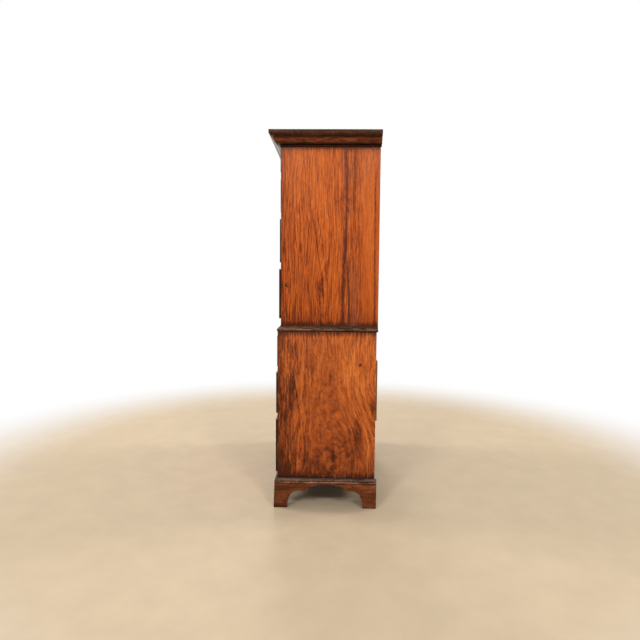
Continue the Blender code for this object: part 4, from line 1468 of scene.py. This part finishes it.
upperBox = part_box("upper_side_right")
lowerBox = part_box("lower_side_right")
upperFront, lowerFront = upperBox[0].y, lowerBox[0].y
upperSideWood = woodMaterial("upperSideWood", upperSideLook, sideField(upperFigure, upperBox))
lowerSideWood = woodMaterial("lowerSideWood", lowerSideLook, sideField(lowerFigure, lowerBox))
frontWood = woodMaterial("drawerFrontWood", frontLook)
beadWood = woodMaterial("cockBeadWood", beadLook)
glossy = {"rough": 0.18, "roughSpread": 0.08, "sheen": 0.5}
corniceWood = {
    "front": woodMaterial("corniceFrontWood", corniceLook, grain="X", **glossy),
    "side": woodMaterial("corniceSideWood", corniceLook, grain="Y"),
}
waistWood = {
    "front": woodMaterial("waistFrontWood", waistLook, grain="X"),
    # The side runs of the waist moulding darken toward the back: painted highlight on their front half
    "side": woodMaterial("waistSideWood", waistLook, depthField(-0.16, 0.10, -0.31), grain="Y"),
}
baseWood = {
    "front": woodMaterial("baseFrontWood", baseLook, grain="X"),
    "side": woodMaterial("baseSideWood", baseLook, depthField(0.02, 0.14, -0.10), grain="Y"),
}
footWood = woodMaterial("footWood", footLook, depthField(-0.20, 0.20, 0.17), grain="round")
boxOak = woodMaterial("drawerBoxOak", oakLook, grain="round")
railOak = variant(oakLook, grain="X")
upperRailWood = facedMaterial("upperRailWood", railOak, railLook, upperFront)
lowerRailWood = facedMaterial("lowerRailWood", railOak, railLook, lowerFront)
# The underside of the bottom board is painted shade
shadedBelow = variant(railOak, underColour=paint(32, 20, 12))
bottomBoardWood = facedMaterial("bottomBoardWood", shadedBelow, railLook, lowerFront)
backPine = woodMaterial("backBoardPine", pineLook, grain="X", dust=0.2)
oneBoard = {"boardAxis": "X", "boardStart": -3.0, "boardWidth": 6.0}
patchPine = woodMaterial("backPatchPine", pineLook, grain="Z", dust=0.1, **oneBoard)
deepBoards = {"boardAxis": "Y", "boardStart": -0.205, "boardWidth": 0.228}
topPine = woodMaterial("topBoardPine", pineLook, grain="X", **deepBoards)
brass = metalMaterial("oldBrass", brassLook)
iron = metalMaterial("darkIron", ironLook)


print("camera, lamps, room and floor")


def addRoom(look):
    world = bpy.data.worlds.new("paleRoom")
    bpy.context.scene.world = world
    world.use_nodes = True
    tree = world.node_tree
    seen = put(tree, "LightPath").outputs
    shown = sums(tree, "MAXIMUM", seen["Is Camera Ray"], seen["Is Glossy Ray"])
    shown = sums(tree, "MAXIMUM", shown, seen["Is Transmission Ray"])
    background = tree.nodes["Background"]
    background.inputs["Color"].default_value = (1, 1, 1, 1)
    feed(tree, background.inputs["Strength"], ease(tree, shown, 0.0, 1.0, look["roomLevel"], 1.0))


def addFloor(look):
    floor = addShape("floor", "plane", size=look["floorSize"])
    made, tree, shader, place = newMaterial("paleFloor")
    tone = ease(tree, noise(tree, place, *look["floorMottle"]), *look["floorTone"])
    feed(tree, shader.inputs["Base Color"], blendColours(tree, 1.0, look["floorColour"], tone, "MULTIPLY"))
    shader.inputs["Roughness"].default_value = look["floorRough"]
    distance = vectors(tree, "LENGTH", vectors(tree, "MULTIPLY", place, (1.0, 1.0, 0.0)))
    far = ease(tree, distance, *look["floorFade"])
    shown = times(tree, far, put(tree, "LightPath").outputs["Is Camera Ray"])
    glow = put(tree, "Emission", {"Color": (1, 1, 1, 1), "Strength": 1.0})
    mixed = put(tree, "MixShader", {0: shown, 1: shader.outputs[0], 2: glow.outputs[0]})
    feed(tree, tree.nodes["Material Output"].inputs["Surface"], mixed.outputs[0])
    floor.data.materials.append(made)


bpy.context.scene.view_settings.view_transform = "Standard"
addCamera(photoView)
addLamps(studio)
addRoom(studio)
addFloor(studio)


print("carcase")
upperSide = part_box("upper_side_left")[0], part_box("upper_side_right")[1]
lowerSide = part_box("lower_side_left")[0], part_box("lower_side_right")[1]
addMoulding("cornice", corniceProfile(corniceShape), upperSide, corniceShape, corniceWood)
addMoulding("waist_moulding", waistProfile(waistShape), upperSide, waistShape, waistWood)
addMoulding("base_moulding", baseProfile(baseShape), lowerSide, baseShape, baseWood)
for hand, side in hands:
    easeNode("upper_side_" + hand, upperSideWood, easing["side"])
    easeNode("lower_side_" + hand, lowerSideWood, easing["side"])
    for end in ("front", "rear"):
        foot = easeNode("bracket_foot_" + end + "_" + hand, footWood, easing["foot"])
        low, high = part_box("bracket_foot_" + end + "_" + hand)
        for vertex in foot.data.vertices:
            if end == "front" and vertex.co.y < low.y + 2 * easing["foot"]:
                vertex.co.y += easing["footLean"] * vertex.co.z / high.z

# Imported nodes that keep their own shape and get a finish
for node in ("upper_divider_1", "upper_divider_2", "upper_divider_3", "upper_top_rail", "upper_bottom_board"):
    finish(nodes[node], upperRailWood)
for node in ("lower_divider_1", "lower_divider_2", "lower_top_board"):
    finish(nodes[node], lowerRailWood)
finish(nodes["lower_bottom_board"], bottomBoardWood)
for node, wood in (("lower_back", backPine), ("lower_back_patch", patchPine), ("upper_back", backPine)):
    finish(nodes[node], wood)
    addNails(node, nailShape, iron)
finish(nodes["upper_top_board"], topPine)


print("drawers")
drawerNames = (
    "lower_bottom", "lower_middle", "lower_top",
    "upper_bottom", "upper_third", "upper_second", "upper_left", "upper_right",
)
slides = {joint["child"]: joint["range_m"] for joint in frame["joints"] if "range_m" in joint}
pivots = {joint["child"]: Vector(joint["pos_m"]) for joint in frame["joints"] if "pos_m" in joint}
post = makePost(fittings)
plate = makePlate(fittings)
lock = makeLock(fittings)
bail = makeBail(bailShape)
for name in drawerNames:
    drawer = name + "_drawer"
    low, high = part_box(name + "_drawer_front")
    face = (upperFront if name.startswith("upper") else lowerFront) + slides[drawer][0]
    addDrawerFront(name, low, high, face, frontShape)
    finish(nodes[drawer + "_box"], boxOak)
    middle = (low.x + high.x) / 2
    keyhole = high.z - fittings["keyholeDrop"] - fittings["keyholeLength"] / 2
    brasses = [copyTo(plate, "plate", (middle, face, keyhole))]
    for child in (name + "_left_bail", name + "_right_bail", name + "_bail"):
        if child in pivots:
            pivot = pivots[child]
            for side in (-1, 1):
                brasses.append(copyTo(post, "post", (pivot.x + side * fittings["halfSpan"], face, pivot.z)))
            dress(copyTo(bail, child + "_bent", pivot), brass, child, 60, (child,))
    dress(joinAll(brasses, name + "_brasses"), brass, drawer, 40)
    back = face + frontShape["thickness"]
    fitted = copyTo(lock, name + "_lock", (middle, back, high.z - fittings["lockDrop"]))
    dress(fitted, iron, drawer, 30)
for master in (post, plate, lock, bail):
    discard(master)
